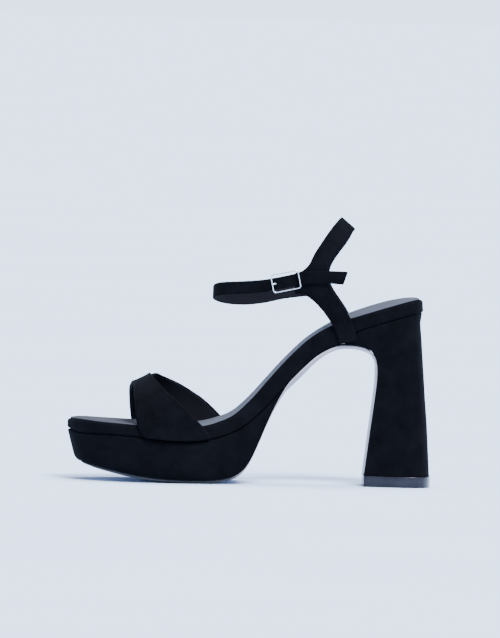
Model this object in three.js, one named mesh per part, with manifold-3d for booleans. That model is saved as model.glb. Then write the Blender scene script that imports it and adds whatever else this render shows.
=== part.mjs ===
// Platform sandal with a block heel, for the left foot.
// Millimetres, +Z up, floor at Z = 0. The toe points to -X and the heel to +X.
// The outer (lateral) side of the foot is at -Y and the inner (medial) side at +Y.

import * as THREE from 'three';
import { mergeVertices } from 'three/addons/utils/BufferGeometryUtils.js';
import Module from 'manifold-3d';

const wasm = await Module();
wasm.setup();

const { degToRad, lerp, clamp, smoothstep } = THREE.MathUtils;

// Gap kept between two pieces that touch
const GAP = 0.3;

// Outline of the insole board seen from above: half widths at stations along the shoe
const TOE_TIP = { x: -112.2, y: 3 };
const HEEL_TIP = { x: 104.4, y: 0 };
const PLAN = [
  { x: -110, lateral: 9, medial: 14.5 },
  { x: -105.8, lateral: 18, medial: 22.5 },
  { x: -99, lateral: 26, medial: 29 },
  { x: -90, lateral: 32.4, medial: 34 },
  { x: -79, lateral: 37, medial: 37.6 },
  { x: -66, lateral: 39.8, medial: 39.8 },
  { x: -52, lateral: 40.6, medial: 40.2 },
  { x: -38, lateral: 39.4, medial: 38.6 },
  { x: -25, lateral: 36.4, medial: 35 },
  { x: -18, lateral: 33.9, medial: 32.4 },
  { x: -12, lateral: 31.6, medial: 30 },
  { x: -6, lateral: 29.2, medial: 27.6 },
  { x: 0, lateral: 27, medial: 25.4 },
  { x: 12, lateral: 23.2, medial: 21.8 },
  { x: 24, lateral: 21, medial: 19.8 },
  { x: 37, lateral: 20.6, medial: 19.6 },
  { x: 50, lateral: 21.6, medial: 20.8 },
  { x: 64, lateral: 23.4, medial: 22.8 },
  { x: 78, lateral: 25, medial: 24.8 },
  { x: 89, lateral: 25, medial: 25 },
  { x: 97, lateral: 22.6, medial: 22.6 },
  { x: 101.4, lateral: 17.4, medial: 17.4 },
  { x: 103.8, lateral: 9.6, medial: 9.6 },
];
const PLAN_STEPS = 2;

// Insole board: height of its top and thickness square to it, from toe to heel seat
const BOARD = [
  { x: -112.4, top: 36.9, thick: 5.6 },
  { x: -104, top: 36.9, thick: 7.5 },
  { x: -93, top: 36.1, thick: 6.9 },
  { x: -80, top: 35.4, thick: 6.6 },
  { x: -66, top: 34.7, thick: 6.7 },
  { x: -52, top: 34.2, thick: 7.6 },
  { x: -40, top: 34.2, thick: 8.2 },
  { x: -30, top: 35, thick: 8.3 },
  { x: -20, top: 37.8, thick: 8.6 },
  { x: -10, top: 42.5, thick: 8.8 },
  { x: 0, top: 51.8, thick: 9.4 },
  { x: 9, top: 62.2, thick: 9.9 },
  { x: 18, top: 72.7, thick: 10.2 },
  { x: 26, top: 81.2, thick: 10.4 },
  { x: 33, top: 87.9, thick: 10.6 },
  { x: 41, top: 93.9, thick: 11.5 },
  { x: 47, top: 97.2, thick: 12 },
  { x: 55, top: 100.9, thick: 9.8 },
  { x: 64, top: 103.9, thick: 8.2 },
  { x: 76, top: 107.9, thick: 8.1 },
  { x: 89, top: 112, thick: 8 },
  { x: 98, top: 114.5, thick: 7.9 },
  { x: 105, top: 115.2, thick: 7.8 },
];
// Rounding of the board's wrapped edge: how far in at each depth from its face
const BOARD_EDGE = [
  { depth: 0, inset: 1.7 },
  { depth: 0.3, inset: 0.6 },
  { depth: 1.3, inset: 0 },
];

// Insole sock: layers by height above the board
const SOCK_LAYERS = [
  { height: GAP, inset: 2.1 },
  { height: 0.5, inset: 1.7 },
  { height: 0.9, inset: 1.8 },
  { height: 1.1, inset: 2.8 },
];
const SOCK_COLUMNS = 6;
// How far the sock's padding rises along its middle
const PAD = [
  { x: -113, rise: 0 },
  { x: -90, rise: -0.2 },
  { x: -40, rise: -0.2 },
  { x: 30, rise: 0 },
  { x: 44, rise: 0.8 },
  { x: 54, rise: 2.1 },
  { x: 66, rise: 2.9 },
  { x: 80, rise: 2.9 },
  { x: 90, rise: 2.1 },
  { x: 98, rise: 0.9 },
  { x: 105, rise: 0 },
];

// Lowest level of the platform's underside, which makes a flat spot under the ball
const FOREFOOT_FLAT = 2.2;
// Platform: where the underside lies below each station of the board
const PLATFORM = [
  { x: -112.2, footX: -108, footZ: 12.4 },
  { x: -105.8, footX: -102.9, footZ: 11 },
  { x: -99, footX: -96.8, footZ: 9.6 },
  { x: -90, footX: -87, footZ: 7.7 },
  { x: -79, footX: -77, footZ: 5.8 },
  { x: -66, footX: -65, footZ: 4 },
  { x: -52, footX: -51.5, footZ: 2.7 },
  { x: -38, footX: -38.5, footZ: 2.2 },
  { x: -25, footX: -26, footZ: 2.2 },
  { x: -18.5, footX: -16.5, footZ: 3.3 },
  { x: -12, footX: -7.4, footZ: 6 },
  { x: -6, footX: -0.9, footZ: 12.2 },
  { x: 0, footX: 5.1, footZ: 25 },
  { x: 6, footX: 11.5, footZ: 41.2 },
  { x: 12, footX: 19.5, footZ: 58.2 },
];
const PLATFORM_LAYERS = [
  { down: 0, inset: 1.7 },
  { down: 0.02, inset: 0.6 },
  { down: 0.06, inset: 0 },
  { down: 0.5, inset: 0.4 },
  { down: 0.83, inset: 0.9 },
  { down: 0.93, inset: 1.6 },
  { down: 0.98, inset: 2.7 },
  { down: 1, inset: 4.2 },
];

// Heel: each level down from the seat, where its breast and its back lie, and its width
const HEEL_LIP = 50;
const HEEL = [
  { frontX: 59.2, frontZ: 86.9, backX: 104, backZ: 101, wide: 1 },
  { frontX: 66.2, frontZ: 86.2, backX: 104.4, backZ: 96, wide: 1 },
  { frontX: 71.5, frontZ: 84.4, backX: 104.9, backZ: 90, wide: 1 },
  { frontX: 75, frontZ: 81.2, backX: 105.4, backZ: 83.5, wide: 0.995 },
  { frontX: 76.9, frontZ: 76, backX: 106, backZ: 76, wide: 0.99 },
  { frontX: 77.3, frontZ: 68, backX: 106.7, backZ: 68, wide: 0.985 },
  { frontX: 76.1, frontZ: 55, backX: 107.8, backZ: 55, wide: 0.98 },
  { frontX: 74, frontZ: 38, backX: 109.4, backZ: 38, wide: 0.975 },
  { frontX: 71.9, frontZ: 20, backX: 110.7, backZ: 20, wide: 0.97 },
  { frontX: 70.4, frontZ: 7, backX: 111.6, backZ: 7, wide: 0.97 },
];
const HEEL_INSET = 0.7;

// Top lift under the heel
const LIFT_LAYERS = [
  { z: 6.7, inset: 1 },
  { z: 6.3, inset: 0.6 },
  { z: 0.6, inset: 0.6 },
  { z: 0, inset: 1.1 },
];
const LIFT_FRONT = 70.2;
const LIFT_BACK = 112.1;

// Outsole: thickness at its edge, and the belly that it gains along its middle at the waist
const SOLE_THICK = 1.9;
const FLAP_THICK = 2.2;
const SOLE_EDGE_SHARE = 0.6;
const SOLE_ACROSS = [1, 0.97, 0.8, 0.5, 0.2, 0.03, 0];
const SOLE_TOE_INSET = 6;
const SOLE_WAIST_INSET = 1;
const SOLE_TAPER_START = -25;
const SOLE_TAPER_END = 0;
const SOLE_JOINT_ROOM = 2;
const BELLY = [
  { x: -112, rise: 0 },
  { x: -4, rise: 0 },
  { x: 5, rise: 0.8 },
  { x: 12, rise: 1.8 },
  { x: 20, rise: 3.8 },
  { x: 28, rise: 4.4 },
  { x: 37, rise: 2.9 },
  { x: 46, rise: 1.3 },
  { x: 58, rise: 0.5 },
  { x: 80, rise: 0 },
];

// Form of the forefoot under the vamp: height of its crest and of the seam at its foot
const FORM = [
  { x: -80, crest: 54.3, seam: 28.8 },
  { x: -73, crest: 57.4, seam: 28.3 },
  { x: -66, crest: 60.8, seam: 27.7 },
  { x: -60, crest: 63.8, seam: 27.2 },
  { x: -45, crest: 69.8, seam: 26.3 },
  { x: -30, crest: 75.4, seam: 27.2 },
  { x: -12, crest: 81.4, seam: 32.6 },
  { x: 0, crest: 85.4, seam: 38 },
];
const FORM_CREST_Y = 6;
const FORM_POWER = 2.5;
const FORM_CLEAR = 0.7;
const FORM_STEPS = 60;

// Vamp straps: front and back edge at each share of the way over, from lateral to medial seam
const VAMP_WALL = 1.8;
const VAMP_STEP = 1.4;
const VAMP_STEP_START = 0.08;
const VAMP_STEP_END = 0.3;
const LATERAL_STRAP = [
  { over: 0, front: -65, back: -24 },
  { over: 0.04, front: -68.6, back: -27.4 },
  { over: 0.1, front: -70.4, back: -34.8 },
  { over: 0.16, front: -71.3, back: -43 },
  { over: 0.23, front: -72, back: -52 },
  { over: 0.3, front: -72.2, back: -57.2 },
  { over: 0.38, front: -72.3, back: -60.2 },
  { over: 0.48, front: -73, back: -61.3 },
  { over: 0.6, front: -73.7, back: -61.8 },
  { over: 0.72, front: -74.6, back: -64.2 },
  { over: 0.84, front: -74.2, back: -65.2 },
  { over: 0.94, front: -72.8, back: -64.6 },
  { over: 1, front: -71, back: -63.6 },
];
const MEDIAL_STRAP = [
  { over: 0.3, front: -71.4, back: -61.5 },
  { over: 0.38, front: -71.6, back: -61.6 },
  { over: 0.48, front: -72.2, back: -61 },
  { over: 0.58, front: -72.9, back: -59.3 },
  { over: 0.64, front: -73.6, back: -56.7 },
  { over: 0.69, front: -74.2, back: -53.6 },
  { over: 0.73, front: -74.4, back: -48.6 },
  { over: 0.76, front: -74.4, back: -43.2 },
  { over: 0.8, front: -74.2, back: -36.1 },
  { over: 0.84, front: -73.8, back: -29.2 },
  { over: 0.89, front: -73, back: -22.6 },
  { over: 0.94, front: -72, back: -17.2 },
  { over: 1, front: -70, back: -12.4 },
];
const VAMP_COLUMNS = 7;
const VAMP_ROWS = 30;

// Heel strap: leg, junction and band on the lateral side, mirrored for the medial side,
// where each row lies further behind by the distance given
const HEEL_STRAP_WALL = 1.8;
const HEEL_STRAP = [
  { x: 58.5, y: 23.5, z: 88.4, wide: 11.4, face: 97, tip: 0, behind: 1.2 },
  { x: 57.5, y: 23.5, z: 93.4, wide: 11.6, face: 97, tip: 0, behind: 1.2 },
  { x: 55.4, y: 23.8, z: 99, wide: 11.8, face: 96, tip: 0, behind: 1.3 },
  { x: 51.8, y: 25, z: 105, wide: 12, face: 94, tip: 0, behind: 1.5 },
  { x: 47.5, y: 26.4, z: 110.8, wide: 11.9, face: 92, tip: 0, behind: 1.8 },
  { x: 43.2, y: 28, z: 116.4, wide: 11.9, face: 90, tip: 0, behind: 2.2 },
  { x: 39.8, y: 29.2, z: 122.4, wide: 12, face: 90, tip: 0, behind: 2.6 },
  { x: 38.6, y: 29.6, z: 128.6, wide: 11.8, face: 90, tip: 0, behind: 3 },
  { x: 39.3, y: 29.2, z: 134.6, wide: 11.5, face: 88, tip: 0, behind: 3.4 },
  { x: 41.7, y: 28, z: 140.4, wide: 11.2, face: 85, tip: 2, behind: 3.8 },
  { x: 45, y: 25.6, z: 145.7, wide: 11.2, face: 80, tip: 6, behind: 3.9 },
  { x: 48.6, y: 22, z: 150.7, wide: 11.7, face: 72, tip: 13, behind: 3.5 },
  { x: 52.1, y: 17, z: 155.2, wide: 12, face: 60, tip: 24, behind: 2.4 },
  { x: 55.1, y: 9.8, z: 158.7, wide: 11.8, face: 38, tip: 38, behind: 1 },
];
const HEEL_STRAP_BACK = { x: 57.3, y: 0, z: 160.8, wide: 11.5, face: 0, tip: 50, behind: 0 };

// Buckle: its centre, the slope of the strap there, and the size of the frame
const BUCKLE = { x: 19.3, y: -33.5, z: 125.2, slope: 12.5 };
const FRAME_LONG = 17.6;
const FRAME_HIGH = 11.5;
const FRAME_BAR = 1.2;
const FRAME_DEEP = 1.5;
const FRAME_CORNER = 1.6;
const CENTRE_BAR_RADIUS = 0.55;
const CENTRE_BAR_SUNK = 1;
const PRONG_WIDE = 1;
const PRONG_RING = 1.6;
const PRONG_BORE = 0.8;
const STRAP_HOLE_WIDE = 1.7;
const EYE_MOUTH = 20;
const EYE_END = 240;
const EYE_SLOT = 2;
const BAR_SIDES = 12;

// Room for the prong through the strap, and the prong's shank: distance along the strap from
// the centre bar, and outward from the middle of the frame
const PRONG_ROOM = [
  { along: -7.4, out: 0.5 },
  { along: -6.3, out: 0.6 },
  { along: -2.2, out: -0.8 },
  { along: 0.5, out: -0.3 },
  { along: 0.8, out: 1 },
  { along: -6.4, out: 2.4 },
  { along: -7.4, out: 2.4 },
];
const PRONG_SHANK = [
  { along: -6.4, out: 1.9 },
  { along: -8.6, out: 2.1 },
  { along: -9.1, out: 1.75 },
  { along: -8.9, out: 1.35 },
  { along: -6.4, out: 1.05 },
];
const PRONG_EYE_START = -194;
const PRONG_EYE_END = 100;

// Tab that holds the centre bar, outward distances measured from the middle of the frame
const TAB_HIGH = 7.6;
const TAB_FRONT_FACE = -2.95;
const TAB_BACK_FACE = -4.15;
const TAB_LONG = 11;

// Leather that widens from the tab into the band at the lateral junction
const WEB_WALL = 1.8;
const WEB_LEVELS = 5;
const WEB = [
  { x: 25, low: 117.6, high: 130.7 },
  { x: 28, low: 117.6, high: 131.3 },
  { x: 30.5, low: 117.2, high: 132.9 },
  { x: 32.9, low: 116.1, high: 135.3 },
  { x: 35, low: 114.8, high: 138.4 },
  { x: 38.4, low: 111.9, high: 140.6 },
  { x: 42.3, low: 107.8, high: 139 },
  { x: 45, low: 105, high: 136 },
];

// Ankle strap: from the medial junction round the front, through the buckle, to its tail
const ANKLE_STRAP_WALL = 1.6;
const ANKLE_STRAP = [
  { x: 43.2, y: 29.3, z: 122.6, wide: 19, face: 90, tip: 0 },
  { x: 39.2, y: 29.5, z: 122, wide: 16.4, face: 90, tip: 0 },
  { x: 34.7, y: 29.6, z: 120.3, wide: 11.4, face: 90, tip: 0 },
  { x: 28.2, y: 29.6, z: 118.3, wide: 8.6, face: 90, tip: 0 },
  { x: 18.2, y: 29.3, z: 116.5, wide: 8, face: 91, tip: 0 },
  { x: 8.2, y: 28.6, z: 114.1, wide: 8, face: 94, tip: 0 },
  { x: -1.7, y: 27.2, z: 112.7, wide: 8, face: 100, tip: 0 },
  { x: -10.6, y: 24.4, z: 112.6, wide: 8, face: 114, tip: 0 },
  { x: -17.9, y: 18.8, z: 113.6, wide: 8, face: 134, tip: 0 },
  { x: -22.5, y: 10.4, z: 115.3, wide: 8, face: 156, tip: 0 },
  { x: -23.9, y: 0, z: 116.9, wide: 8.2, face: 180, tip: 0 },
  { x: -22.1, y: -10.6, z: 118.8, wide: 8.2, face: 204, tip: 0 },
  { x: -17.1, y: -19.8, z: 119.9, wide: 8.1, face: 227, tip: 0 },
  { x: -9.4, y: -26.4, z: 120.6, wide: 8, face: 247, tip: 0 },
  { x: -1.1, y: -30, z: 121.3, wide: 8, face: 260, tip: 0 },
  { x: 6.6, y: -31.3, z: 122.3, wide: 7.8, face: 268, tip: 0 },
  { x: 11.8, y: -31.4, z: 123.5, wide: 7.4, face: 270, tip: 0 },
  { x: 15.6, y: -33.2, z: 124.3, wide: 7.4, face: 270, tip: 0 },
  { x: 19.3, y: -35.25, z: 125.2, wide: 7.4, face: 270, tip: 0 },
  { x: 23, y: -33.3, z: 126, wide: 7.4, face: 270, tip: 0 },
  { x: 26.8, y: -31.4, z: 126.9, wide: 7.4, face: 270, tip: 0 },
  { x: 32, y: -31.6, z: 127.7, wide: 7.8, face: 270, tip: 0 },
  { x: 39, y: -31.7, z: 128.3, wide: 7.8, face: 270, tip: 0 },
  { x: 47, y: -31.8, z: 128.4, wide: 8, face: 270, tip: 0 },
  { x: 56, y: -31.8, z: 128.1, wide: 8.2, face: 270, tip: 0 },
];
const STRAP_CHAMFER = 0.4;
// Plane that cuts the strap's tail slantwise: its heading up from +X in degrees, and its distance
const TAIL_CUT = { heading: -17, distance: 15.9 };

// Steps drawn between two rows of a strap's table, and segments of curved shapes
const STRAP_STEPS = 2;
const PLATE_SEGMENTS = 8;
const FRAME_SEGMENTS = 4;

// Finishes
const suede = new THREE.MeshStandardMaterial({ color: 0x1c1e26, roughness: 0.95, metalness: 0 });
const darkLeather = new THREE.MeshStandardMaterial({ color: 0x3c3f4c, roughness: 0.45, metalness: 0 });
const paleLeather = new THREE.MeshStandardMaterial({ color: 0xb5acb8, roughness: 0.6, metalness: 0 });
const glossBlack = new THREE.MeshStandardMaterial({ color: 0x17191f, roughness: 0.3, metalness: 0 });
const chrome = new THREE.MeshStandardMaterial({ color: 0xd8dbe0, roughness: 0.15, metalness: 1 });

// A smooth curve through one column of a table
function curveThrough(rows, along, column) {
  const last = rows.length - 1;
  const slopeAt = (i) => {
    const before = rows[Math.max(i - 1, 0)];
    const after = rows[Math.min(i + 1, last)];
    return (after[column] - before[column]) / (after[along] - before[along]);
  };
  return (place) => {
    let i = 0;
    while (i < last - 1 && place > rows[i + 1][along]) {
      i += 1;
    }
    const a = rows[i];
    const b = rows[i + 1];
    const span = b[along] - a[along];
    const t = clamp((place - a[along]) / span, 0, 1);
    const rest = 1 - t;
    const bend = t * rest * span;
    const base = a[column] * rest * rest * (1 + 2 * t) + b[column] * t * t * (3 - 2 * t);
    return base + bend * (slopeAt(i) * rest - slopeAt(i + 1) * t);
  };
}

// A closed surface, gathered vertex by vertex
class Skin {
  constructor() {
    this.points = [];
    this.faces = [];
  }

  add(point) {
    this.points.push(point);
    return this.points.length - 1;
  }

  triangle(a, b, c) {
    if (a !== b && b !== c && c !== a) {
      this.faces.push(a, b, c);
    }
  }

  quad(a, b, c, d) {
    const p = this.points;
    if (p[a].distanceTo(p[c]) < p[b].distanceTo(p[d])) {
      this.triangle(a, b, c);
      this.triangle(a, c, d);
    } else {
      this.triangle(a, b, d);
      this.triangle(b, c, d);
    }
  }

  // Joins two rings of vertices of the same length
  band(lower, upper) {
    lower.forEach((a, i) => {
      const next = (i + 1) % lower.length;
      this.quad(a, lower[next], upper[next], upper[i]);
    });
  }

  // Fills the space between two edges, with rows across it
  fill(left, right, columns, lift) {
    const rows = left.map((a, i) => {
      const b = right[i];
      if (a === b) {
        return new Array(columns + 1).fill(a);
      }
      const row = [a];
      for (let k = 1; k < columns; k += 1) {
        const share = k / columns;
        const point = this.points[a].clone().lerp(this.points[b], share);
        row.push(this.add(lift(point, share)));
      }
      row.push(b);
      return row;
    });
    for (let i = 0; i + 1 < rows.length; i += 1) {
      for (let k = 0; k < columns; k += 1) {
        this.quad(rows[i][k], rows[i][k + 1], rows[i + 1][k + 1], rows[i + 1][k]);
      }
    }
  }

  flip() {
    for (let i = 0; i < this.faces.length; i += 3) {
      const kept = this.faces[i];
      this.faces[i] = this.faces[i + 1];
      this.faces[i + 1] = kept;
    }
  }

  volume() {
    let sum = 0;
    for (let i = 0; i < this.faces.length; i += 3) {
      const [a, b, c] = [0, 1, 2].map((k) => this.points[this.faces[i + k]]);
      sum += a.dot(new THREE.Vector3().crossVectors(b, c));
    }
    return sum / 6;
  }

  geometry() {
    const geometry = new THREE.BufferGeometry();
    geometry.setFromPoints(this.points);
    geometry.setIndex(this.faces);
    return geometry;
  }
}

const flat = (point) => point;

// Turns the fill faces of one side round, so that a whole skin faces one way
function filled(skin, left, right, columns, lift, turned) {
  const side = new Skin();
  side.points = skin.points;
  side.fill(left, right, columns, lift);
  if (turned) {
    side.flip();
  }
  skin.faces.push(...side.faces);
}

// Outline stations from toe to heel, each with its lateral and medial point
function outlineStations() {
  const lateral = PLAN.map((row) => new THREE.Vector3(row.x, -row.lateral, 0));
  const medial = PLAN.map((row) => new THREE.Vector3(row.x, row.medial, 0)).reverse();
  const toe = new THREE.Vector3(TOE_TIP.x, TOE_TIP.y, 0);
  const heel = new THREE.Vector3(HEEL_TIP.x, HEEL_TIP.y, 0);
  const curve = new THREE.CatmullRomCurve3([toe, ...lateral, heel, ...medial], true, 'centripetal');
  const half = (PLAN.length + 1) * PLAN_STEPS;
  const stations = [];
  for (let i = 0; i <= half; i += 1) {
    const share = i / (2 * half);
    stations.push({ lateral: curve.getPoint(share), medial: curve.getPoint((1 - share) % 1) });
  }
  return stations;
}

const STATIONS = outlineStations();
const isTip = (station) => station.lateral.distanceTo(station.medial) < 0.01;

// The same stations moved in by a distance, square to the outline
function insetStations(inset) {
  const half = STATIONS.length - 1;
  const medialWay = STATIONS.slice(1, half).map((station) => station.medial).reverse();
  const ring = [...STATIONS.map((station) => station.lateral), ...medialWay];
  const moved = ring.map((point, i) => {
    const before = ring[(i - 1 + ring.length) % ring.length];
    const after = ring[(i + 1) % ring.length];
    const along = after.clone().sub(before).normalize();
    return new THREE.Vector3(point.x - along.y * inset, point.y + along.x * inset, 0);
  });
  return STATIONS.map((station, i) => ({
    lateral: moved[i],
    medial: moved[(ring.length - i) % ring.length],
  }));
}

// Indices of the outline stations between two rows of the plan
function stationRange(fromX, toX) {
  const range = [];
  STATIONS.forEach((station, i) => {
    if (station.lateral.x > fromX - 0.01 && station.lateral.x < toX + 0.01) {
      range.push(i);
    }
  });
  return range;
}

// Half width of the board at a place along the shoe
function edgeAt(x, side) {
  let i = 0;
  while (i < STATIONS.length - 2 && STATIONS[i + 1][side].x < x) {
    i += 1;
  }
  const a = STATIONS[i][side];
  const b = STATIONS[i + 1][side];
  return Math.abs(lerp(a.y, b.y, clamp((x - a.x) / (b.x - a.x), 0, 1)));
}

// A solid of stacked layers: each layer is an outline, set in and mapped to its place
function layered(layers, range, place, crown = { columns: 1, lift: flat }) {
  const skin = new Skin();
  const edges = layers.map((layer) => {
    const inset = insetStations(layer.inset);
    const left = range.map((i) => skin.add(place(inset[i].lateral, layer)));
    const right = range.map((i, k) => {
      return isTip(STATIONS[i]) ? left[k] : skin.add(place(inset[i].medial, layer));
    });
    const ring = [...left, ...right.filter((index, k) => index !== left[k]).reverse()];
    return { left, right, ring };
  });
  for (let i = 0; i + 1 < edges.length; i += 1) {
    skin.band(edges[i].ring, edges[i + 1].ring);
  }
  const first = edges[0];
  const final = edges[edges.length - 1];
  filled(skin, first.left, first.right, 1, flat, false);
  filled(skin, final.left, final.right, crown.columns, crown.lift, true);
  if (skin.volume() < 0) {
    skin.flip();
  }
  return skin;
}

// A solid swept through rings of points, closed by a face at each end
function swept(rings) {
  const skin = new Skin();
  const loops = rings.map((ring) => ring.map((point) => skin.add(point)));
  for (let i = 0; i + 1 < loops.length; i += 1) {
    skin.band(loops[i], loops[i + 1]);
  }
  const first = loops[0];
  const final = loops[loops.length - 1];
  let low = 0;
  let high = first.length - 1;
  while (low + 1 < high) {
    skin.triangle(first[low], first[high], first[low + 1]);
    skin.triangle(final[low], final[low + 1], final[high]);
    low += 1;
    if (low + 1 < high) {
      skin.triangle(first[low], first[high], first[high - 1]);
      skin.triangle(final[low], final[high - 1], final[high]);
      high -= 1;
    }
  }
  if (skin.volume() < 0) {
    skin.flip();
  }
  return skin;
}

// Joining and cutting
function toSolid(geometry) {
  const bare = new THREE.BufferGeometry();
  bare.setAttribute('position', geometry.getAttribute('position').clone());
  if (geometry.index) {
    bare.setIndex(geometry.index);
  }
  const merged = mergeVertices(bare, 1e-4);
  const vertProperties = new Float32Array(merged.getAttribute('position').array);
  const triVerts = new Uint32Array(merged.index.array);
  return new wasm.Manifold(new wasm.Mesh({ numProp: 3, vertProperties, triVerts }));
}

function fromSolid(solid) {
  const mesh = solid.getMesh();
  const geometry = new THREE.BufferGeometry();
  geometry.setAttribute('position', new THREE.BufferAttribute(new Float32Array(mesh.vertProperties), 3));
  geometry.setIndex(Array.from(mesh.triVerts));
  return geometry;
}

// Shape of the insole board
const boardTop = curveThrough(BOARD, 'x', 'top');
const boardThick = curveThrough(BOARD, 'x', 'thick');
const boardTilt = (x) => Math.atan2(boardTop(x + 0.5) - boardTop(x - 0.5), 1);

// A point at a depth under the board's top, measured square to it
function underBoard(x, y, depth) {
  const tilt = boardTilt(x);
  return new THREE.Vector3(x + depth * Math.sin(tilt), y, boardTop(x) - depth * Math.cos(tilt));
}

function insoleBoard() {
  const upper = BOARD_EDGE.map((row) => ({ inset: row.inset, depth: () => row.depth }));
  const lower = BOARD_EDGE.map((row) => ({ inset: row.inset, depth: (x) => boardThick(x) - row.depth }));
  const place = (point, layer) => underBoard(point.x, point.y, layer.depth(point.x));
  return layered([...lower.slice(0, 3), ...upper.reverse()], stationRange(-Infinity, Infinity), place);
}

const padRise = curveThrough(PAD, 'x', 'rise');

function insoleSock() {
  const place = (point, layer) => underBoard(point.x, point.y, -layer.height);
  const lift = (point, share) => {
    point.z += padRise(point.x) * (1 - (2 * share - 1) ** 2);
    return point;
  };
  const crown = { columns: SOCK_COLUMNS, lift };
  return layered(SOCK_LAYERS, stationRange(-Infinity, Infinity), place, crown);
}

// Platform under the forefoot
const platformX = curveThrough(PLATFORM, 'x', 'footX');
const platformFoot = curveThrough(PLATFORM, 'x', 'footZ');
const platformZ = (x) => Math.max(platformFoot(x), FOREFOOT_FLAT);
const PLATFORM_TAIL = PLATFORM[PLATFORM.length - 1].x;

function platform() {
  const place = (point, layer) => {
    const top = underBoard(point.x, point.y, boardThick(point.x) + GAP);
    const foot = new THREE.Vector3(platformX(point.x), point.y, platformZ(point.x));
    return top.lerp(foot, layer.down);
  };
  return layered(PLATFORM_LAYERS, stationRange(-Infinity, PLATFORM_TAIL), place);
}

// Block heel, its top against the heel seat and its breast curved into the waist
function heel() {
  const place = (point, layer) => {
    if (layer.seat) {
      return underBoard(point.x, point.y, boardThick(point.x) + GAP);
    }
    const share = (point.x - HEEL_LIP) / (HEEL_TIP.x - HEEL_LIP);
    const x = lerp(layer.frontX, layer.backX, share);
    const z = lerp(layer.frontZ, layer.backZ, share);
    return new THREE.Vector3(x, point.y * layer.wide, z);
  };
  const seat = { seat: true, inset: HEEL_INSET };
  const levels = HEEL.map((row) => ({ ...row, inset: HEEL_INSET }));
  return layered([seat, ...levels], stationRange(HEEL_LIP, Infinity), place);
}

function topLift() {
  const wide = HEEL[HEEL.length - 1].wide;
  const place = (point, layer) => {
    const share = (point.x - HEEL_LIP) / (HEEL_TIP.x - HEEL_LIP);
    return new THREE.Vector3(lerp(LIFT_FRONT, LIFT_BACK, share), point.y * wide, layer.z);
  };
  return layered(LIFT_LAYERS, stationRange(HEEL_LIP, Infinity), place);
}

// Outsole: follows the platform's underside, the board at the waist and the breast of the heel
function outsoleLine() {
  const line = [];
  STATIONS.forEach((station) => {
    const x = (station.lateral.x + station.medial.x) / 2;
    const lateral = edgeAt(x, 'lateral');
    const medial = edgeAt(x, 'medial');
    if (x > TOE_TIP.x + SOLE_TOE_INSET && x < PLATFORM_TAIL - SOLE_JOINT_ROOM / 2) {
      const raised = smoothstep(x, SOLE_TAPER_START, SOLE_TAPER_END);
      const inset = lerp(SOLE_TOE_INSET, SOLE_WAIST_INSET, raised);
      line.push({ x: platformX(x), z: platformZ(x), lateral, medial, inset });
    } else if (x > PLATFORM_TAIL + SOLE_JOINT_ROOM && x < HEEL_LIP - SOLE_JOINT_ROOM) {
      const point = underBoard(x, 0, boardThick(x));
      line.push({ x: point.x, z: point.z, lateral, medial, inset: SOLE_WAIST_INSET });
    }
  });
  HEEL.forEach((row) => {
    const lateral = edgeAt(HEEL_LIP, 'lateral') * row.wide;
    const medial = edgeAt(HEEL_LIP, 'medial') * row.wide;
    line.push({ x: row.frontX, z: row.frontZ, lateral, medial, inset: SOLE_WAIST_INSET + HEEL_INSET });
  });
  return line;
}

function outsole() {
  const line = outsoleLine();
  const belly = curveThrough(BELLY, 'x', 'rise');
  const middle = new THREE.CatmullRomCurve3(line.map((row) => new THREE.Vector3(row.x, 0, row.z)));
  const rings = line.map((row, i) => {
    const along = middle.getTangent(i / (line.length - 1));
    const down = new THREE.Vector3(along.z, 0, -along.x);
    const onBreast = i > line.length - HEEL.length + 2;
    const thick = onBreast ? FLAP_THICK : SOLE_THICK;
    const rise = belly(row.x);
    const left = -(row.lateral - row.inset);
    const right = row.medial - row.inset;
    const at = (share, deep) => {
      return new THREE.Vector3(row.x, lerp(left, right, share), row.z).addScaledVector(down, deep);
    };
    const under = SOLE_ACROSS.map((share) => {
      const edge = share === 0 || share === 1;
      const bulge = rise * (1 - (2 * share - 1) ** 2);
      return at(share, GAP + (edge ? thick * SOLE_EDGE_SHARE : thick + bulge));
    });
    return [at(0, GAP), at(1, GAP), ...under];
  });
  return swept(rings);
}

// Form of the forefoot: a point at a share of the way over it, lifted square to its surface
const formCrest = curveThrough(FORM, 'x', 'crest');
const formSeam = curveThrough(FORM, 'x', 'seam');

function formSection(x) {
  const station = x - boardThick(x) * Math.sin(boardTilt(x));
  const lateral = edgeAt(station, 'lateral') + FORM_CLEAR;
  const medial = edgeAt(station, 'medial') + FORM_CLEAR;
  const points = [];
  for (let i = 0; i <= FORM_STEPS; i += 1) {
    const angle = (Math.PI * i) / FORM_STEPS;
    const cos = Math.cos(angle);
    const half = cos > 0 ? FORM_CREST_Y + lateral : medial - FORM_CREST_Y;
    const y = FORM_CREST_Y - Math.sign(cos) * half * Math.abs(cos) ** (2 / FORM_POWER);
    const rise = Math.abs(Math.sin(angle)) ** (2 / FORM_POWER);
    points.push(new THREE.Vector3(x, y, lerp(formSeam(x), formCrest(x), rise)));
  }
  return points;
}

function onForm(x, share, lift) {
  const points = formSection(x);
  const lengths = [0];
  for (let i = 1; i < points.length; i += 1) {
    lengths.push(lengths[i - 1] + points[i].distanceTo(points[i - 1]));
  }
  const wanted = share * lengths[FORM_STEPS];
  let i = 0;
  while (i < FORM_STEPS - 1 && lengths[i + 1] < wanted) {
    i += 1;
  }
  const t = (wanted - lengths[i]) / (lengths[i + 1] - lengths[i]);
  const point = points[i].clone().lerp(points[i + 1], t);
  const before = points[Math.max(i - 1, 0)];
  const after = points[Math.min(i + 2, FORM_STEPS)];
  const along = after.clone().sub(before).normalize();
  return point.add(new THREE.Vector3(0, -along.z * lift, along.y * lift));
}

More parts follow.
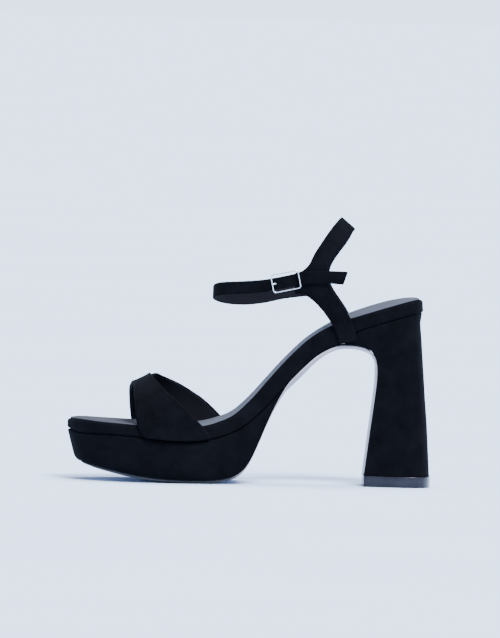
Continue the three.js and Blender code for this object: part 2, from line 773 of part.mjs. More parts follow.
// One strap of the vamp: a wall over the form between its front and back edges
function vampStrap(rows, liftAt) {
  const front = curveThrough(rows, 'over', 'front');
  const back = curveThrough(rows, 'over', 'back');
  const start = rows[0].over;
  const rings = [];
  for (let i = 0; i <= VAMP_ROWS; i += 1) {
    const over = lerp(start, 1, i / VAMP_ROWS);
    const inner = [];
    const outer = [];
    for (let k = 0; k <= VAMP_COLUMNS; k += 1) {
      const x = lerp(front(over), back(over), k / VAMP_COLUMNS);
      inner.push(onForm(x, over, liftAt(over)));
      outer.push(onForm(x, over, liftAt(over) + VAMP_WALL));
    }
    rings.push([...inner, ...outer.reverse()]);
  }
  return swept(rings);
}

function vamp() {
  const lateralLift = (over) => VAMP_STEP * smoothstep(over, VAMP_STEP_START, VAMP_STEP_END);
  const lateral = toSolid(vampStrap(LATERAL_STRAP, lateralLift).geometry());
  const medial = toSolid(vampStrap(MEDIAL_STRAP, () => 0).geometry());
  return fromSolid(lateral.add(medial));
}

// A table's columns drawn out into more rows
function drawnOut(rows, steps) {
  const numbered = rows.map((row, step) => ({ ...row, step }));
  const columns = Object.keys(rows[0]).map((name) => [name, curveThrough(numbered, 'step', name)]);
  const fine = [];
  for (let i = 0; i <= (rows.length - 1) * steps; i += 1) {
    fine.push(Object.fromEntries(columns.map(([name, curve]) => [name, curve(i / steps)])));
  }
  return fine;
}

// A flat strap along a table of its middle line: face is the heading of its outer face in
// degrees, tip is how far that face looks upwards
function strap(rows, wall) {
  const fine = drawnOut(rows, STRAP_STEPS);
  const middle = fine.map((row) => new THREE.Vector3(row.x, row.y, row.z));
  const deep = wall / 2;
  const rings = fine.map((row, i) => {
    const along = middle[Math.min(i + 1, fine.length - 1)].clone().sub(middle[Math.max(i - 1, 0)]);
    along.normalize();
    const outward = new THREE.Vector3().setFromSphericalCoords(1, degToRad(90 - row.tip), 0);
    outward.set(outward.z, 0, outward.y).applyAxisAngle(new THREE.Vector3(0, 0, 1), degToRad(row.face));
    outward.addScaledVector(along, -outward.dot(along)).normalize();
    const across = new THREE.Vector3().crossVectors(along, outward);
    const half = row.wide / 2;
    const corners = [
      [half - STRAP_CHAMFER, deep],
      [half, deep - STRAP_CHAMFER],
      [half, STRAP_CHAMFER - deep],
      [half - STRAP_CHAMFER, -deep],
      [STRAP_CHAMFER - half, -deep],
      [-half, STRAP_CHAMFER - deep],
      [-half, deep - STRAP_CHAMFER],
      [STRAP_CHAMFER - half, deep],
    ];
    return corners.map(([side, out]) => {
      return middle[i].clone().addScaledVector(across, side).addScaledVector(outward, out);
    });
  });
  return swept(rings).geometry();
}

// Axes of the buckle: along the strap, up across it, and out from the ankle
const slope = degToRad(BUCKLE.slope);
const buckleAlong = new THREE.Vector3(Math.cos(slope), 0, Math.sin(slope));
const buckleUp = new THREE.Vector3(-Math.sin(slope), 0, Math.cos(slope));
const buckleOut = new THREE.Vector3(0, -1, 0);
const buckleCentre = new THREE.Vector3(BUCKLE.x, BUCKLE.y, BUCKLE.z);
const facing = new THREE.Matrix4().makeBasis(buckleAlong, buckleUp, buckleOut).setPosition(buckleCentre);
const edgeOn = new THREE.Matrix4()
  .makeBasis(buckleAlong, buckleOut, buckleUp.clone().negate())
  .setPosition(buckleCentre);

// Extrudes a side view of the buckle's parts evenly to both sides of the strap's middle
function edgeOnPlate(shape, wide) {
  const extrusion = { depth: wide, bevelEnabled: false, curveSegments: PLATE_SEGMENTS };
  const geometry = new THREE.ExtrudeGeometry(shape, extrusion);
  return geometry.translate(0, 0, -wide / 2).applyMatrix4(edgeOn);
}

function shapeOf(rows) {
  return new THREE.Shape(rows.map((row) => new THREE.Vector2(row.along, row.out)));
}

function ringHole(radius) {
  return new THREE.Path().absarc(0, -CENTRE_BAR_SUNK, radius, 0, Math.PI * 2, true);
}

// Tab that runs from the lateral junction and turns round the centre bar
function tab() {
  const radius = PRONG_RING;
  const mouth = degToRad(EYE_MOUTH);
  const mouthY = -CENTRE_BAR_SUNK - radius * Math.sin(mouth);
  const shape = new THREE.Shape();
  shape.moveTo(TAB_LONG, TAB_FRONT_FACE);
  shape.lineTo(FRAME_LONG / 3, TAB_FRONT_FACE);
  shape.quadraticCurveTo(radius * 2, TAB_FRONT_FACE, radius * Math.cos(mouth), mouthY);
  shape.absarc(0, -CENTRE_BAR_SUNK, radius, -mouth, degToRad(EYE_END), false);
  shape.quadraticCurveTo(radius, TAB_BACK_FACE, FRAME_LONG / 3, TAB_BACK_FACE);
  shape.lineTo(TAB_LONG, TAB_BACK_FACE);
  shape.holes.push(ringHole(PRONG_BORE));
  const slot = shapeOf([
    { along: -EYE_SLOT, out: TAB_FRONT_FACE },
    { along: EYE_SLOT, out: TAB_FRONT_FACE },
    { along: EYE_SLOT, out: radius },
    { along: -EYE_SLOT, out: radius },
  ]);
  const plate = toSolid(edgeOnPlate(shape, TAB_HIGH));
  return plate.subtract(toSolid(edgeOnPlate(slot, STRAP_HOLE_WIDE)));
}

// Web of the lateral junction, lying in the bend of the heel strap
function web() {
  const bend = curveThrough(HEEL_STRAP, 'z', 'y');
  const rings = drawnOut(WEB, STRAP_STEPS).map((row) => {
    const inner = [];
    const outer = [];
    for (let i = 0; i <= WEB_LEVELS; i += 1) {
      const z = lerp(row.low, row.high, i / WEB_LEVELS);
      inner.push(new THREE.Vector3(row.x, -bend(z) + WEB_WALL / 2, z));
      outer.push(new THREE.Vector3(row.x, -bend(z) - WEB_WALL / 2, z));
    }
    return [...inner, ...outer.reverse()];
  });
  return swept(rings).geometry();
}

// Heel strap and ankle strap, joined at the two junctions over the ankle
function heelStrap() {
  const lateral = HEEL_STRAP.map((row) => ({ ...row, y: -row.y, face: -row.face }));
  const medial = HEEL_STRAP.map((row) => ({ ...row, x: row.x + row.behind })).reverse();
  const band = strap([...lateral, HEEL_STRAP_BACK, ...medial], HEEL_STRAP_WALL);
  const heading = degToRad(TAIL_CUT.heading);
  const ankle = toSolid(strap(ANKLE_STRAP, ANKLE_STRAP_WALL))
    .trimByPlane([-Math.cos(heading), 0, -Math.sin(heading)], -TAIL_CUT.distance);
  const pierced = ankle.subtract(toSolid(edgeOnPlate(shapeOf(PRONG_ROOM), STRAP_HOLE_WIDE)));
  return fromSolid(toSolid(band).add(toSolid(web())).add(tab()).add(pierced));
}

function buckleFrame() {
  const outline = (long, high, corner, path) => {
    const x = long / 2;
    const y = high / 2;
    path.moveTo(-x + corner, -y);
    path.lineTo(x - corner, -y);
    path.absarc(x - corner, -y + corner, corner, -Math.PI / 2, 0, false);
    path.lineTo(x, y - corner);
    path.absarc(x - corner, y - corner, corner, 0, Math.PI / 2, false);
    path.lineTo(-x + corner, y);
    path.absarc(-x + corner, y - corner, corner, Math.PI / 2, Math.PI, false);
    path.lineTo(-x, -y + corner);
    path.absarc(-x + corner, -y + corner, corner, Math.PI, Math.PI * 1.5, false);
    return path;
  };
  const shape = outline(FRAME_LONG, FRAME_HIGH, FRAME_CORNER, new THREE.Shape());
  const innerLong = FRAME_LONG - 2 * FRAME_BAR;
  const innerHigh = FRAME_HIGH - 2 * FRAME_BAR;
  shape.holes.push(outline(innerLong, innerHigh, FRAME_CORNER / 3, new THREE.Path()));
  const extrusion = { depth: FRAME_DEEP, bevelEnabled: false, curveSegments: FRAME_SEGMENTS };
  const ring = new THREE.ExtrudeGeometry(shape, extrusion);
  ring.translate(0, 0, -FRAME_DEEP / 2).applyMatrix4(facing);
  const barLong = FRAME_HIGH - FRAME_BAR;
  const bar = new THREE.CylinderGeometry(CENTRE_BAR_RADIUS, CENTRE_BAR_RADIUS, barLong, BAR_SIDES);
  bar.translate(0, 0, -CENTRE_BAR_SUNK).applyMatrix4(facing);
  return fromSolid(toSolid(ring).add(toSolid(bar)));
}

// Prong: an eye round the centre bar and a shank that comes up through the strap and
// rests over the front bar of the frame
function buckleProng() {
  const shape = new THREE.Shape();
  const start = degToRad(PRONG_EYE_START);
  const end = degToRad(PRONG_EYE_END);
  shape.absarc(0, -CENTRE_BAR_SUNK, PRONG_RING, start, end, false);
  PRONG_SHANK.forEach((row) => shape.lineTo(row.along, row.out));
  shape.holes.push(ringHole(PRONG_BORE));
  return edgeOnPlate(shape, PRONG_WIDE);
}

// The shoe
function piece(name, geometry, material) {
  const mesh = new THREE.Mesh(geometry, material);
  mesh.name = name;
  return mesh;
}

const sole = new THREE.Group();
sole.add(piece('outsole', outsole().geometry(), paleLeather));
sole.add(piece('platform', platform().geometry(), suede));
sole.add(piece('insole_board', insoleBoard().geometry(), suede));
sole.add(piece('insole_sock', insoleSock().geometry(), darkLeather));
sole.add(piece('heel', heel().geometry(), suede));
sole.add(piece('top_lift', topLift().geometry(), glossBlack));

const upper = new THREE.Group();
upper.add(piece('vamp', vamp(), suede));
upper.add(piece('heel_strap', heelStrap(), suede));

const buckle = new THREE.Group();
buckle.add(piece('buckle_frame', buckleFrame(), chrome));
buckle.add(piece('buckle_prong', buckleProng(), chrome));

const shoe = new THREE.Group();
shoe.add(sole, upper, buckle);

export default shoe;
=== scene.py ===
import math

import bmesh
import bpy
import numpy as np
from mathutils import Matrix, Vector
from mathutils.kdtree import KDTree


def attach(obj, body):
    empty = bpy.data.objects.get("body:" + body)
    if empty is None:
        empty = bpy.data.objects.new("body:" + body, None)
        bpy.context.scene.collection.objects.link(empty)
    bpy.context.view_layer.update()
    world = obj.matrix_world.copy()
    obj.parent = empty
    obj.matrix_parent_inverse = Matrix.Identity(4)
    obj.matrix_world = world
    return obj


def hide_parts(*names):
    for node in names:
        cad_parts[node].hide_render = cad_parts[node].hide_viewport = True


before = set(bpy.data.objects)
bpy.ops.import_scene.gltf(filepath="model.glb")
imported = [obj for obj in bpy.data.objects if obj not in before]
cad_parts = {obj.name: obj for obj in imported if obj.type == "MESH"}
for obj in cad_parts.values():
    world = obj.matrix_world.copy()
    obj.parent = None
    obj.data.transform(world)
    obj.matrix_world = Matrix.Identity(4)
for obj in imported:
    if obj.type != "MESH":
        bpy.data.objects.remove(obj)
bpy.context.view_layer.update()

# The tables and sizes of the shoe are in millimetres, and the scene is in metres
MM = 0.001
# Gap between neighbouring pieces
GAP = 0.3
# A station past either end of the shoe
PAST_END = 200


def rows_of(names, rows):
    """A table with named columns as one array for each column."""
    values = np.array(rows, float)
    return {name: values[:, i] for i, name in enumerate(names.split())}


# Outline of the insole board seen from above: half widths along the shoe
TOE_TIP = (-112.2, 3.0)
HEEL_TIP = (104.4, 0.0)
PLAN = rows_of("x lateral medial", [
    (-110, 9, 14.5), (-105.8, 18, 22.5), (-99, 26, 29), (-90, 32.4, 34), (-79, 37, 37.6),
    (-66, 39.8, 39.8), (-52, 40.6, 40.2), (-38, 39.4, 38.6), (-25, 36.4, 35), (-18, 33.9, 32.4),
    (-12, 31.6, 30), (-6, 29.2, 27.6), (0, 27, 25.4), (12, 23.2, 21.8), (24, 21, 19.8),
    (37, 20.6, 19.6), (50, 21.6, 20.8), (64, 23.4, 22.8), (78, 25, 24.8), (89, 25, 25),
    (97, 22.6, 22.6), (101.4, 17.4, 17.4), (103.8, 9.6, 9.6)])
PLAN_STEPS = 8

# Insole board: height of its top and thickness square to it
BOARD = rows_of("x top thick", [
    (-112.4, 36.9, 5.6), (-104, 36.9, 7.5), (-93, 36.1, 6.9), (-80, 35.4, 6.6), (-66, 34.7, 6.7),
    (-52, 34.2, 7.6), (-40, 34.2, 8.2), (-30, 35, 8.3), (-20, 37.8, 8.6), (-10, 42.5, 8.8),
    (0, 51.8, 9.4), (9, 62.2, 9.9), (18, 72.7, 10.2), (26, 81.2, 10.4), (33, 87.9, 10.6),
    (41, 93.9, 11.5), (47, 97.2, 12), (55, 100.9, 9.8), (64, 103.9, 8.2), (76, 107.9, 8.1),
    (89, 112, 8), (98, 114.5, 7.9), (105, 115.2, 7.8)])

# Rounding of the board's rim: how far in, how far down, where its side begins, and its points
BOARD_RIM_IN = 1.7
BOARD_RIM_DOWN = 1.3
BOARD_RIM_SIDE = 2.2
BOARD_RIM_POINTS = 7
BOARD_COLUMNS = 6

# Insole sock: its side as rows of (inset, height), and how far its padding rises in the middle
SOCK_SIDE = [(2.1, 0.3), (1.85, 0.45), (1.75, 0.62), (1.85, 0.8), (2.15, 0.95), (2.6, 1.05), (3.2, 1.1)]
SOCK_COLUMNS = 24
PAD = rows_of("x rise", [
    (-113, 0), (-90, -0.2), (-40, -0.2), (30, 0), (44, 0.8), (54, 2.1), (66, 2.9), (80, 2.9),
    (90, 2.1), (98, 0.9), (105, 0)])

# Platform: where its underside lies below each station
PLATFORM = rows_of("x footX footZ", [
    (-112.2, -108, 12.4), (-105.8, -102.9, 11), (-99, -96.8, 9.6), (-90, -87, 7.7), (-79, -77, 5.8),
    (-66, -65, 4), (-52, -51.5, 2.7), (-38, -38.5, 2.2), (-25, -26, 2.2), (-18.5, -16.5, 3.3),
    (-12, -7.4, 6), (-6, -0.9, 12.2), (0, 5.1, 25), (6, 11.5, 41.2), (12, 19.5, 58.2)])
# Lowest level of the underside, which makes it flat under the ball
FOREFOOT_FLAT = 2.2
# Platform's side: share of the way down, and how far it is set in
PLATFORM_SIDE = [
    (0, 1.7), (0.006, 1.15), (0.016, 0.65), (0.032, 0.25), (0.06, 0), (0.2, 0.1), (0.35, 0.25),
    (0.5, 0.4), (0.62, 0.52), (0.74, 0.7), (0.83, 0.9), (0.89, 1.2), (0.93, 1.6), (0.957, 2.05),
    (0.978, 2.6), (0.992, 3.3), (1, 4.2)]

# Heel: where its breast and its back lie at each level, and its width
HEEL_LIP = 50
HEEL = rows_of("frontX frontZ backX backZ wide", [
    (59.2, 86.9, 104, 101, 1), (66.2, 86.2, 104.4, 96, 1), (71.5, 84.4, 104.9, 90, 1),
    (75, 81.2, 105.4, 83.5, 0.995), (76.9, 76, 106, 76, 0.99), (77.3, 68, 106.7, 68, 0.985),
    (76.1, 55, 107.8, 55, 0.98), (74, 38, 109.4, 38, 0.975), (71.9, 20, 110.7, 20, 0.97),
    (70.4, 7, 111.6, 7, 0.97)])
HEEL_LEVELS = 46
HEEL_INSET = 0.7
HEEL_EDGE = 0.9

# Top lift: where its front and back lie, and its side as rows of (inset, height)
LIFT_FRONT = 70.2
LIFT_BACK = 112.1
LIFT_SIDE = [(0.95, 6.7), (0.7, 6.6), (0.6, 6.35), (0.6, 3.4), (0.6, 0.7), (0.7, 0.3), (0.9, 0.08), (1.15, 0)]
LIFT_EDGE = 0.5
# Rounded edges of the heel and the lift: parts of each, and the angle from which an edge has one
BEVEL_SEGMENTS = 3
BEVEL_ANGLE = 50

# Outsole: its thickness at the waist and on the heel's breast, how far its edge is set in at the
# toe and the waist, and how far its lower corners are rounded
SOLE_THICK = 1.9
FLAP_THICK = 2.2
SOLE_TOE_INSET = 6
SOLE_WAIST_INSET = 1
SOLE_CORNER = 1.2
# How far the sole bulges down along its middle
BELLY = rows_of("x rise", [
    (-112, 0), (-4, 0), (5, 0.8), (12, 1.8), (20, 3.8), (28, 4.4), (37, 2.9), (46, 1.3), (58, 0.5),
    (80, 0)])
# Stations under the platform and the waist, and the last one whose edge takes painted shade
FOREFOOT_STATIONS = 90
WAIST_STATIONS = 40
LAST_SHADED_EDGE_STATION = 92
# Smoothing passes over the sole's path, over its widths and over the way that it faces
PATH_PASSES = 5
WIDTH_PASSES = 14
FACING_PASSES = 8
# Points over the sole's top and upper sides, across its underside and round each lower corner
TOP_POINTS = 6
SOLE_COLUMNS = 19
CORNER_POINTS = 5
# Where the sides stop being straight, and from where the sheet bulges, by the share of its depth
SIDE_SHARE = 0.35
BULGE_SHARE = 0.6
# Between which places the edge runs out to the waist's, and between which stations, counted from
# the first one on the breast, the thickness changes
INSET_BLEND = (-25, 0)
FLAP_BLEND = (-8, 12)

# Form of the forefoot under the vamp
FORM = rows_of("x crest seam", [
    (-80, 54.3, 28.8), (-73, 57.4, 28.3), (-66, 60.8, 27.7), (-60, 63.8, 27.2), (-45, 69.8, 26.3),
    (-30, 75.4, 27.2), (-12, 81.4, 32.6), (0, 85.4, 38)])
FORM_CREST_Y = 6
FORM_POWER = 2.5
FORM_CLEAR = 0.7
FORM_STEPS = 120
# Distance to either side over which the form's slope is taken
FORM_REACH = 1.2

# Vamp: its wall, and how far the outer strap steps up where it lies over the inner one
VAMP_WALL = 1.8
VAMP_STEP = 1.4
VAMP_COLUMNS = 26
VAMP_ROWS = 110
# Turned edge of the straps: how far it swells, how far in, and how wide the swelling is
RIM_SWELL = 0.18
RIM_IN = 1.3
RIM_WIDE = 0.9
# Where the front and back edges of each strap lie, by the share of the way over the form
LATERAL_STRAP = rows_of("over front back", [
    (0, -65, -24), (0.04, -68.6, -27.4), (0.1, -70.4, -34.8), (0.16, -71.3, -43), (0.23, -72, -52),
    (0.3, -72.2, -57.2), (0.38, -72.3, -60.2), (0.48, -73, -61.3), (0.6, -73.7, -61.8),
    (0.72, -74.6, -64.2), (0.84, -74.2, -65.2), (0.94, -72.8, -64.6), (1, -71, -63.6)])
MEDIAL_STRAP = rows_of("over front back", [
    (0.3, -71.4, -61.5), (0.38, -71.6, -61.6), (0.48, -72.2, -61), (0.58, -72.9, -59.3),
    (0.64, -73.6, -56.7), (0.69, -74.2, -53.6), (0.73, -74.4, -48.6), (0.76, -74.4, -43.2),
    (0.8, -74.2, -36.1), (0.84, -73.8, -29.2), (0.89, -73, -22.6), (0.94, -72, -17.2), (1, -70, -12.4)])

# Heel strap: one leg, junction and half of the band. Face is the heading that the outer side
# faces, tip is how far it looks up, and behind is how much further back the medial side lies
STRAP_COLUMNS = "x y z wide face tip behind"
STRAP_STEPS = 6
STRAP_CORNER = 0.7
STRAP_CORNER_POINTS = 4
HEEL_STRAP_WALL = 1.8
HEEL_STRAP = [
    (58.5, 23.5, 88.4, 11.4, 97, 0, 1.2), (57.5, 23.5, 93.4, 11.6, 97, 0, 1.2),
    (55.4, 23.8, 99, 11.8, 96, 0, 1.3), (51.8, 25, 105, 12, 94, 0, 1.5),
    (47.5, 26.4, 110.8, 11.9, 92, 0, 1.8), (43.2, 28, 116.4, 11.9, 90, 0, 2.2),
    (39.8, 29.2, 122.4, 12, 90, 0, 2.6), (38.6, 29.6, 128.6, 11.8, 90, 0, 3),
    (39.3, 29.2, 134.6, 11.5, 88, 0, 3.4), (41.7, 28, 140.4, 11.2, 85, 2, 3.8),
    (45, 25.6, 145.7, 11.2, 80, 6, 3.9), (48.6, 22, 150.7, 11.7, 72, 13, 3.5),
    (52.1, 17, 155.2, 12, 60, 24, 2.4), (55.1, 9.8, 158.7, 11.8, 38, 38, 1)]
HEEL_STRAP_BACK = (57.3, 0, 160.8, 11.5, 0, 50, 0)

# Ankle strap: from the medial junction round the front of the ankle to its free tail
ANKLE_STRAP_WALL = 1.6
ANKLE_STRAP = [
    (43.2, 29.3, 122.6, 19, 90, 0), (39.2, 29.5, 122, 16.4, 90, 0), (34.7, 29.6, 120.3, 11.4, 90, 0),
    (28.2, 29.6, 118.3, 8.6, 90, 0), (18.2, 29.3, 116.5, 8, 91, 0), (8.2, 28.6, 114.1, 8, 94, 0),
    (-1.7, 27.2, 112.7, 8, 100, 0), (-10.6, 24.4, 112.6, 8, 114, 0), (-17.9, 18.8, 113.6, 8, 134, 0),
    (-22.5, 10.4, 115.3, 8, 156, 0), (-23.9, 0, 116.9, 8.2, 180, 0), (-22.1, -10.6, 118.8, 8.2, 204, 0),
    (-17.1, -19.8, 119.9, 8.1, 227, 0), (-9.4, -26.4, 120.6, 8, 247, 0), (-1.1, -30, 121.3, 8, 260, 0),
    (6.6, -31.3, 122.3, 7.8, 268, 0), (11.8, -31.4, 123.5, 7.4, 270, 0), (15.6, -33.2, 124.3, 7.4, 270, 0),
    (19.3, -35.25, 125.2, 7.4, 270, 0), (23, -33.3, 126, 7.4, 270, 0), (26.8, -31.4, 126.9, 7.4, 270, 0),
    (32, -31.6, 127.7, 7.8, 270, 0), (39, -31.7, 128.3, 7.8, 270, 0), (47, -31.8, 128.4, 8, 270, 0),
    (56, -31.8, 128.1, 8.2, 270, 0)]

# Leather that widens from the strap into the band at the lateral junction
WEB_WALL = 1.8
WEB_STATIONS = 40
WEB_LEVELS = 16
WEB = rows_of("x low high", [
    (25, 117.6, 130.7), (28, 117.6, 131.3), (30.5, 117.2, 132.9), (32.9, 116.1, 135.3),
    (35, 114.8, 138.4), (38.4, 111.9, 140.6), (42.3, 107.8, 139), (45, 105, 136)])

# Tail of the ankle strap: slant of its cut, and how many rings share it
TAIL_SLANT = 0.3
TAIL_RINGS = 9

# Strap surface: size of the grid that joins its parts, and its softening
JOIN_GRID = 0.38
SOFTEN_SHARE = 0.6
SOFTEN_PASSES = 4

# Buckle: its centre and slope, its frame, and the prong's line along and out from the centre
BUCKLE = (19.3, -33.5, 125.2)
BUCKLE_SLOPE = 12.5
FRAME_LONG = 17.6
FRAME_HIGH = 11.5
FRAME_BAR = 0.75
FRAME_DEEP = 1.5
FRAME_CORNER = 1.85
FRAME_CORNER_POINTS = 8
FRAME_SPACING = 1.5
FRAME_SIDES = 20
PRONG_LINE = [
    (0.9, -1), (-1.6, -1.1), (-3.4, -1.7), (-4.5, -1.6), (-5.3, -0.6), (-6, 0.6), (-7, 1.3),
    (-8, 1.55), (-8.9, 1.35)]
PRONG_STATIONS = 40
PRONG_SIDES = 14
PRONG_RADIUS = 0.52
PRONG_TAPER = 0.1
# Rows of its line between which the prong narrows, and its last rings as shares of its radius
PRONG_NARROWS = (3, 6)
PRONG_END = (0.9, 0.7, 0.35)
# Power that makes the section of the metal squarer than an oval
METAL_SQUARE = 0.62

# Darkest and lightest colour of each material
SUEDE_SHADES = (0.0014, 0.0015, 0.0023), (0.0030, 0.0032, 0.0047)
LINING_SHADES = (0.0050, 0.0050, 0.0075), (0.0080, 0.0080, 0.0115)
# The insole's colour under the toes is darkened as painted shade from the vamp and the rim, and its colour at
# the waist and seat is lightened as painted sheen
PAD_TOE_PAINTED_SHADE = (0.036, 0.037, 0.048), (0.044, 0.045, 0.058)
PAD_REAR_PAINTED_SHEEN = (0.052, 0.058, 0.078), (0.062, 0.069, 0.091)
# The sole edge's dark colour round the forefoot is painted shade under the platform
EDGE_PAINTED_SHADE_COLOURS = (0.010, 0.011, 0.015), (0.018, 0.019, 0.026)
SOLE_SHADES = (0.30, 0.275, 0.31), (0.35, 0.32, 0.36)
GLOSS_SHADES = (0.008, 0.008, 0.014), (0.013, 0.013, 0.022)
PLATING_SHADES = (0.60, 0.61, 0.65), (0.72, 0.73, 0.77)
PAPER_SHADES = (0.575, 0.70, 0.94), (0.595, 0.72, 0.96)
# Depth of the leather's grain and of its finest texture, in metres
GRAIN_DEPTH = 0.00005
FINE_DEPTH = 0.00003
# Places along the shoe between which the insole begins to shine and its colour turns from painted shade to
# painted sheen, and the sole's edge turns from painted shade to bare
SHINE_AND_PAINTED_SHEEN_BLEND = (-76, -62)
BARE_BLEND = (-14, 6)

# Reach of the studio floor, in metres, and the glow of the studio at the horizon and overhead
FLOOR_REACH = 400
FLOOR_TURNS = 96
HORIZON = (2.1, 2.6, 3.6)
OVERHEAD = (0.50, 0.58, 0.72)

# Camera: degrees round, up and rolled, its distance, what it looks at, its scale for a picture of
# this height, and its nearest and farthest reach in metres
CAMERA_TURN = (-1.1, 1.8, 1.4)
CAMERA_DISTANCE = 6000
CAMERA_TARGET = (-1.45, 0, 100.75)
PIXELS_PER_MM = 1.625
PICTURE_HIGH = 638
SENSOR = 36
NEAREST = 0.05
FARTHEST = 1000


# Curves and outlines
def curve(table, along, column):
    """The same smooth curve through a table's column as the solids have."""
    x, y = table[along], table[column]
    last = len(x) - 1
    before = np.maximum(np.arange(last + 1) - 1, 0)
    after = np.minimum(np.arange(last + 1) + 1, last)
    slope = (y[after] - y[before]) / (x[after] - x[before])

    def at(place):
        place = np.asarray(place, float)
        i = np.clip(np.searchsorted(x, place, side="left") - 1, 0, last - 1)
        span = x[i + 1] - x[i]
        u = np.clip((place - x[i]) / span, 0, 1)
        rest = 1 - u
        base = y[i] * rest * rest * (1 + 2 * u) + y[i + 1] * u * u * (3 - 2 * u)
        return base + u * rest * span * (slope[i] * rest - slope[i + 1] * u)
    return at


def heel_rows(names):
    """The heel's columns at evenly spaced levels."""
    steps = {"step": np.arange(len(HEEL["wide"]), dtype=float), **HEEL}
    fine = np.linspace(0, len(HEEL["wide"]) - 1, HEEL_LEVELS)
    return {name: curve(steps, "step", name)(fine) for name in names}


def smoothstep(x, low, high):
    t = np.clip((np.asarray(x, float) - low) / (high - low), 0, 1)
    return t * t * (3 - 2 * t)


def closed_spline(points, shares):
    """Points on a closed centripetal Catmull-Rom curve at shares of its way round."""
    p = np.asarray(points, float)
    n = len(p)
    out = []
    for share in shares:
        place = n * share
        k = int(math.floor(place))
        w = place - k
        a, b, c, d = (p[(k + j) % n] for j in (-1, 0, 1, 2))
        t0, t1, t2 = (max(np.linalg.norm(v - u) ** 0.5, 1e-4) for u, v in ((a, b), (b, c), (c, d)))
        m1 = ((b - a) / t0 - (c - a) / (t0 + t1) + (c - b) / t1) * t1
        m2 = ((c - b) / t1 - (d - b) / (t1 + t2) + (d - c) / t2) * t1
        c2 = -3 * b + 3 * c - 2 * m1 - m2
        c3 = 2 * b - 2 * c + m1 + m2
        out.append(b + m1 * w + c2 * w * w + c3 * w ** 3)
    return np.array(out)


def outline():
    """Lateral and medial outline points at matching stations, from the toe to the heel."""
    x = PLAN["x"]
    lateral = np.column_stack([x, -PLAN["lateral"]])
    medial = np.column_stack([x, PLAN["medial"]])[::-1]
    ring = np.vstack([[TOE_TIP], lateral, [HEEL_TIP], medial])
    half = (len(x) + 1) * PLAN_STEPS
    shares = np.arange(half + 1) / (2 * half)
    return closed_spline(ring, shares), closed_spline(ring, (1 - shares) % 1)


LATERAL, MEDIAL = outline()
COUNT = len(LATERAL)


def inset_outline(inset):
    """Both sides of the outline moved in by a distance, which may change along it."""
    ring = np.vstack([LATERAL, MEDIAL[1:-1][::-1]])
    along = np.roll(ring, -1, axis=0) - np.roll(ring, 1, axis=0)
    along /= np.linalg.norm(along, axis=1)[:, None]
    amount = np.broadcast_to(np.asarray(inset, float), len(ring))[:, None]
    moved = ring + np.column_stack([-along[:, 1], along[:, 0]]) * amount
    medial = np.vstack([moved[:1], moved[COUNT:][::-1], moved[COUNT - 1:COUNT]])
    return moved[:COUNT], medial


def edge_at(x, side):
    """Half width of the board at a place along the shoe."""
    line = LATERAL if side == "lateral" else MEDIAL
    return np.abs(np.interp(x, line[:, 0], line[:, 1]))


board_top = curve(BOARD, "x", "top")
board_thick = curve(BOARD, "x", "thick")


def board_tilt(x):
    return np.arctan2(board_top(x + 0.5) - board_top(x - 0.5), 1)


def under_board(x, y, depth):
    """Points at a depth under the board's top, measured square to it."""
    tilt = board_tilt(x)
    return np.column_stack([x + depth * np.sin(tilt), y, board_top(x) - depth * np.cos(tilt)])


# Meshes
def make_piece(name, points, faces, slots=None):
    """A piece from points in millimetres; slots name the material of each face."""
    mesh = bpy.data.meshes.new(name)
    mesh.from_pydata((np.asarray(points, float) * MM).tolist(), [], faces)
    if slots is not None:
        mesh.polygons.foreach_set("material_index", slots)
    tidy = bmesh.new()
    tidy.from_mesh(mesh)
    bmesh.ops.remove_doubles(tidy, verts=tidy.verts, dist=1e-6)
    bmesh.ops.dissolve_degenerate(tidy, edges=tidy.edges, dist=1e-7)
    bmesh.ops.recalc_face_normals(tidy, faces=tidy.faces)
    tidy.to_mesh(mesh)
    tidy.free()
    mesh.shade_smooth()
    piece = bpy.data.objects.new(name, mesh)
    bpy.context.scene.collection.objects.link(piece)
    return piece


def add_bevel(piece, width):
    bevel = piece.modifiers.new("rounded edges", "BEVEL")
    bevel.width = width * MM
    bevel.segments = BEVEL_SEGMENTS
    bevel.limit_method = "ANGLE"
    bevel.angle_limit = math.radians(BEVEL_ANGLE)


def layered(name, layers, span, place, top_columns=2, lift=None):
    """A closed skin of stacked outlines: each layer is (inset, value) put in place by the function."""
    keep = np.where((LATERAL[:, 0] > span[0] - 0.01) & (LATERAL[:, 0] < span[1] + 0.01))[0]
    points, faces, rings, sides = [], [], [], []
    for inset, value in layers:
        lateral, medial = inset_outline(inset)
        left = place(lateral[keep, 0], lateral[keep, 1], value)
        right = place(medial[keep, 0], medial[keep, 1], value)
        start = len(points)
        points.extend(left)
        points.extend(right)
        count = len(keep)
        left_ids = list(range(start, start + count))
        right_ids = list(range(start + count, start + 2 * count))
        rings.append(left_ids + right_ids[::-1])
        sides.append((left_ids, right_ids))
    for low, high in zip(rings, rings[1:]):
        for i, a in enumerate(low):
            j = (i + 1) % len(low)
            faces.append((a, low[j], high[j], high[i]))

    def cap(side, columns, lift):
        rows = []
        for a, b in zip(*side):
            row = [a]
            for k in range(1, columns):
                share = k / columns
                point = points[a] * (1 - share) + points[b] * share
                points.append(lift(point, share) if lift else point)
                row.append(len(points) - 1)
            rows.append(row + [b])
        for row, after in zip(rows, rows[1:]):
            for k in range(columns):
                faces.append((row[k], row[k + 1], after[k + 1], after[k]))
    cap(sides[0], 2, None)
    cap(sides[-1], top_columns, lift)
    return make_piece(name, points, faces)


def ring_faces(count, n, closed=False):
    """Faces between rings of n points each, either closed to a loop or with flat ends."""
    faces = []
    for i in range(count if closed else count - 1):
        m = (i + 1) % count
        for k in range(n):
            j = (k + 1) % n
            faces.append((i * n + k, i * n + j, m * n + j, m * n + k))
    if not closed:
        faces += [tuple(range(n)), tuple(range((count - 1) * n, count * n))]
    return faces


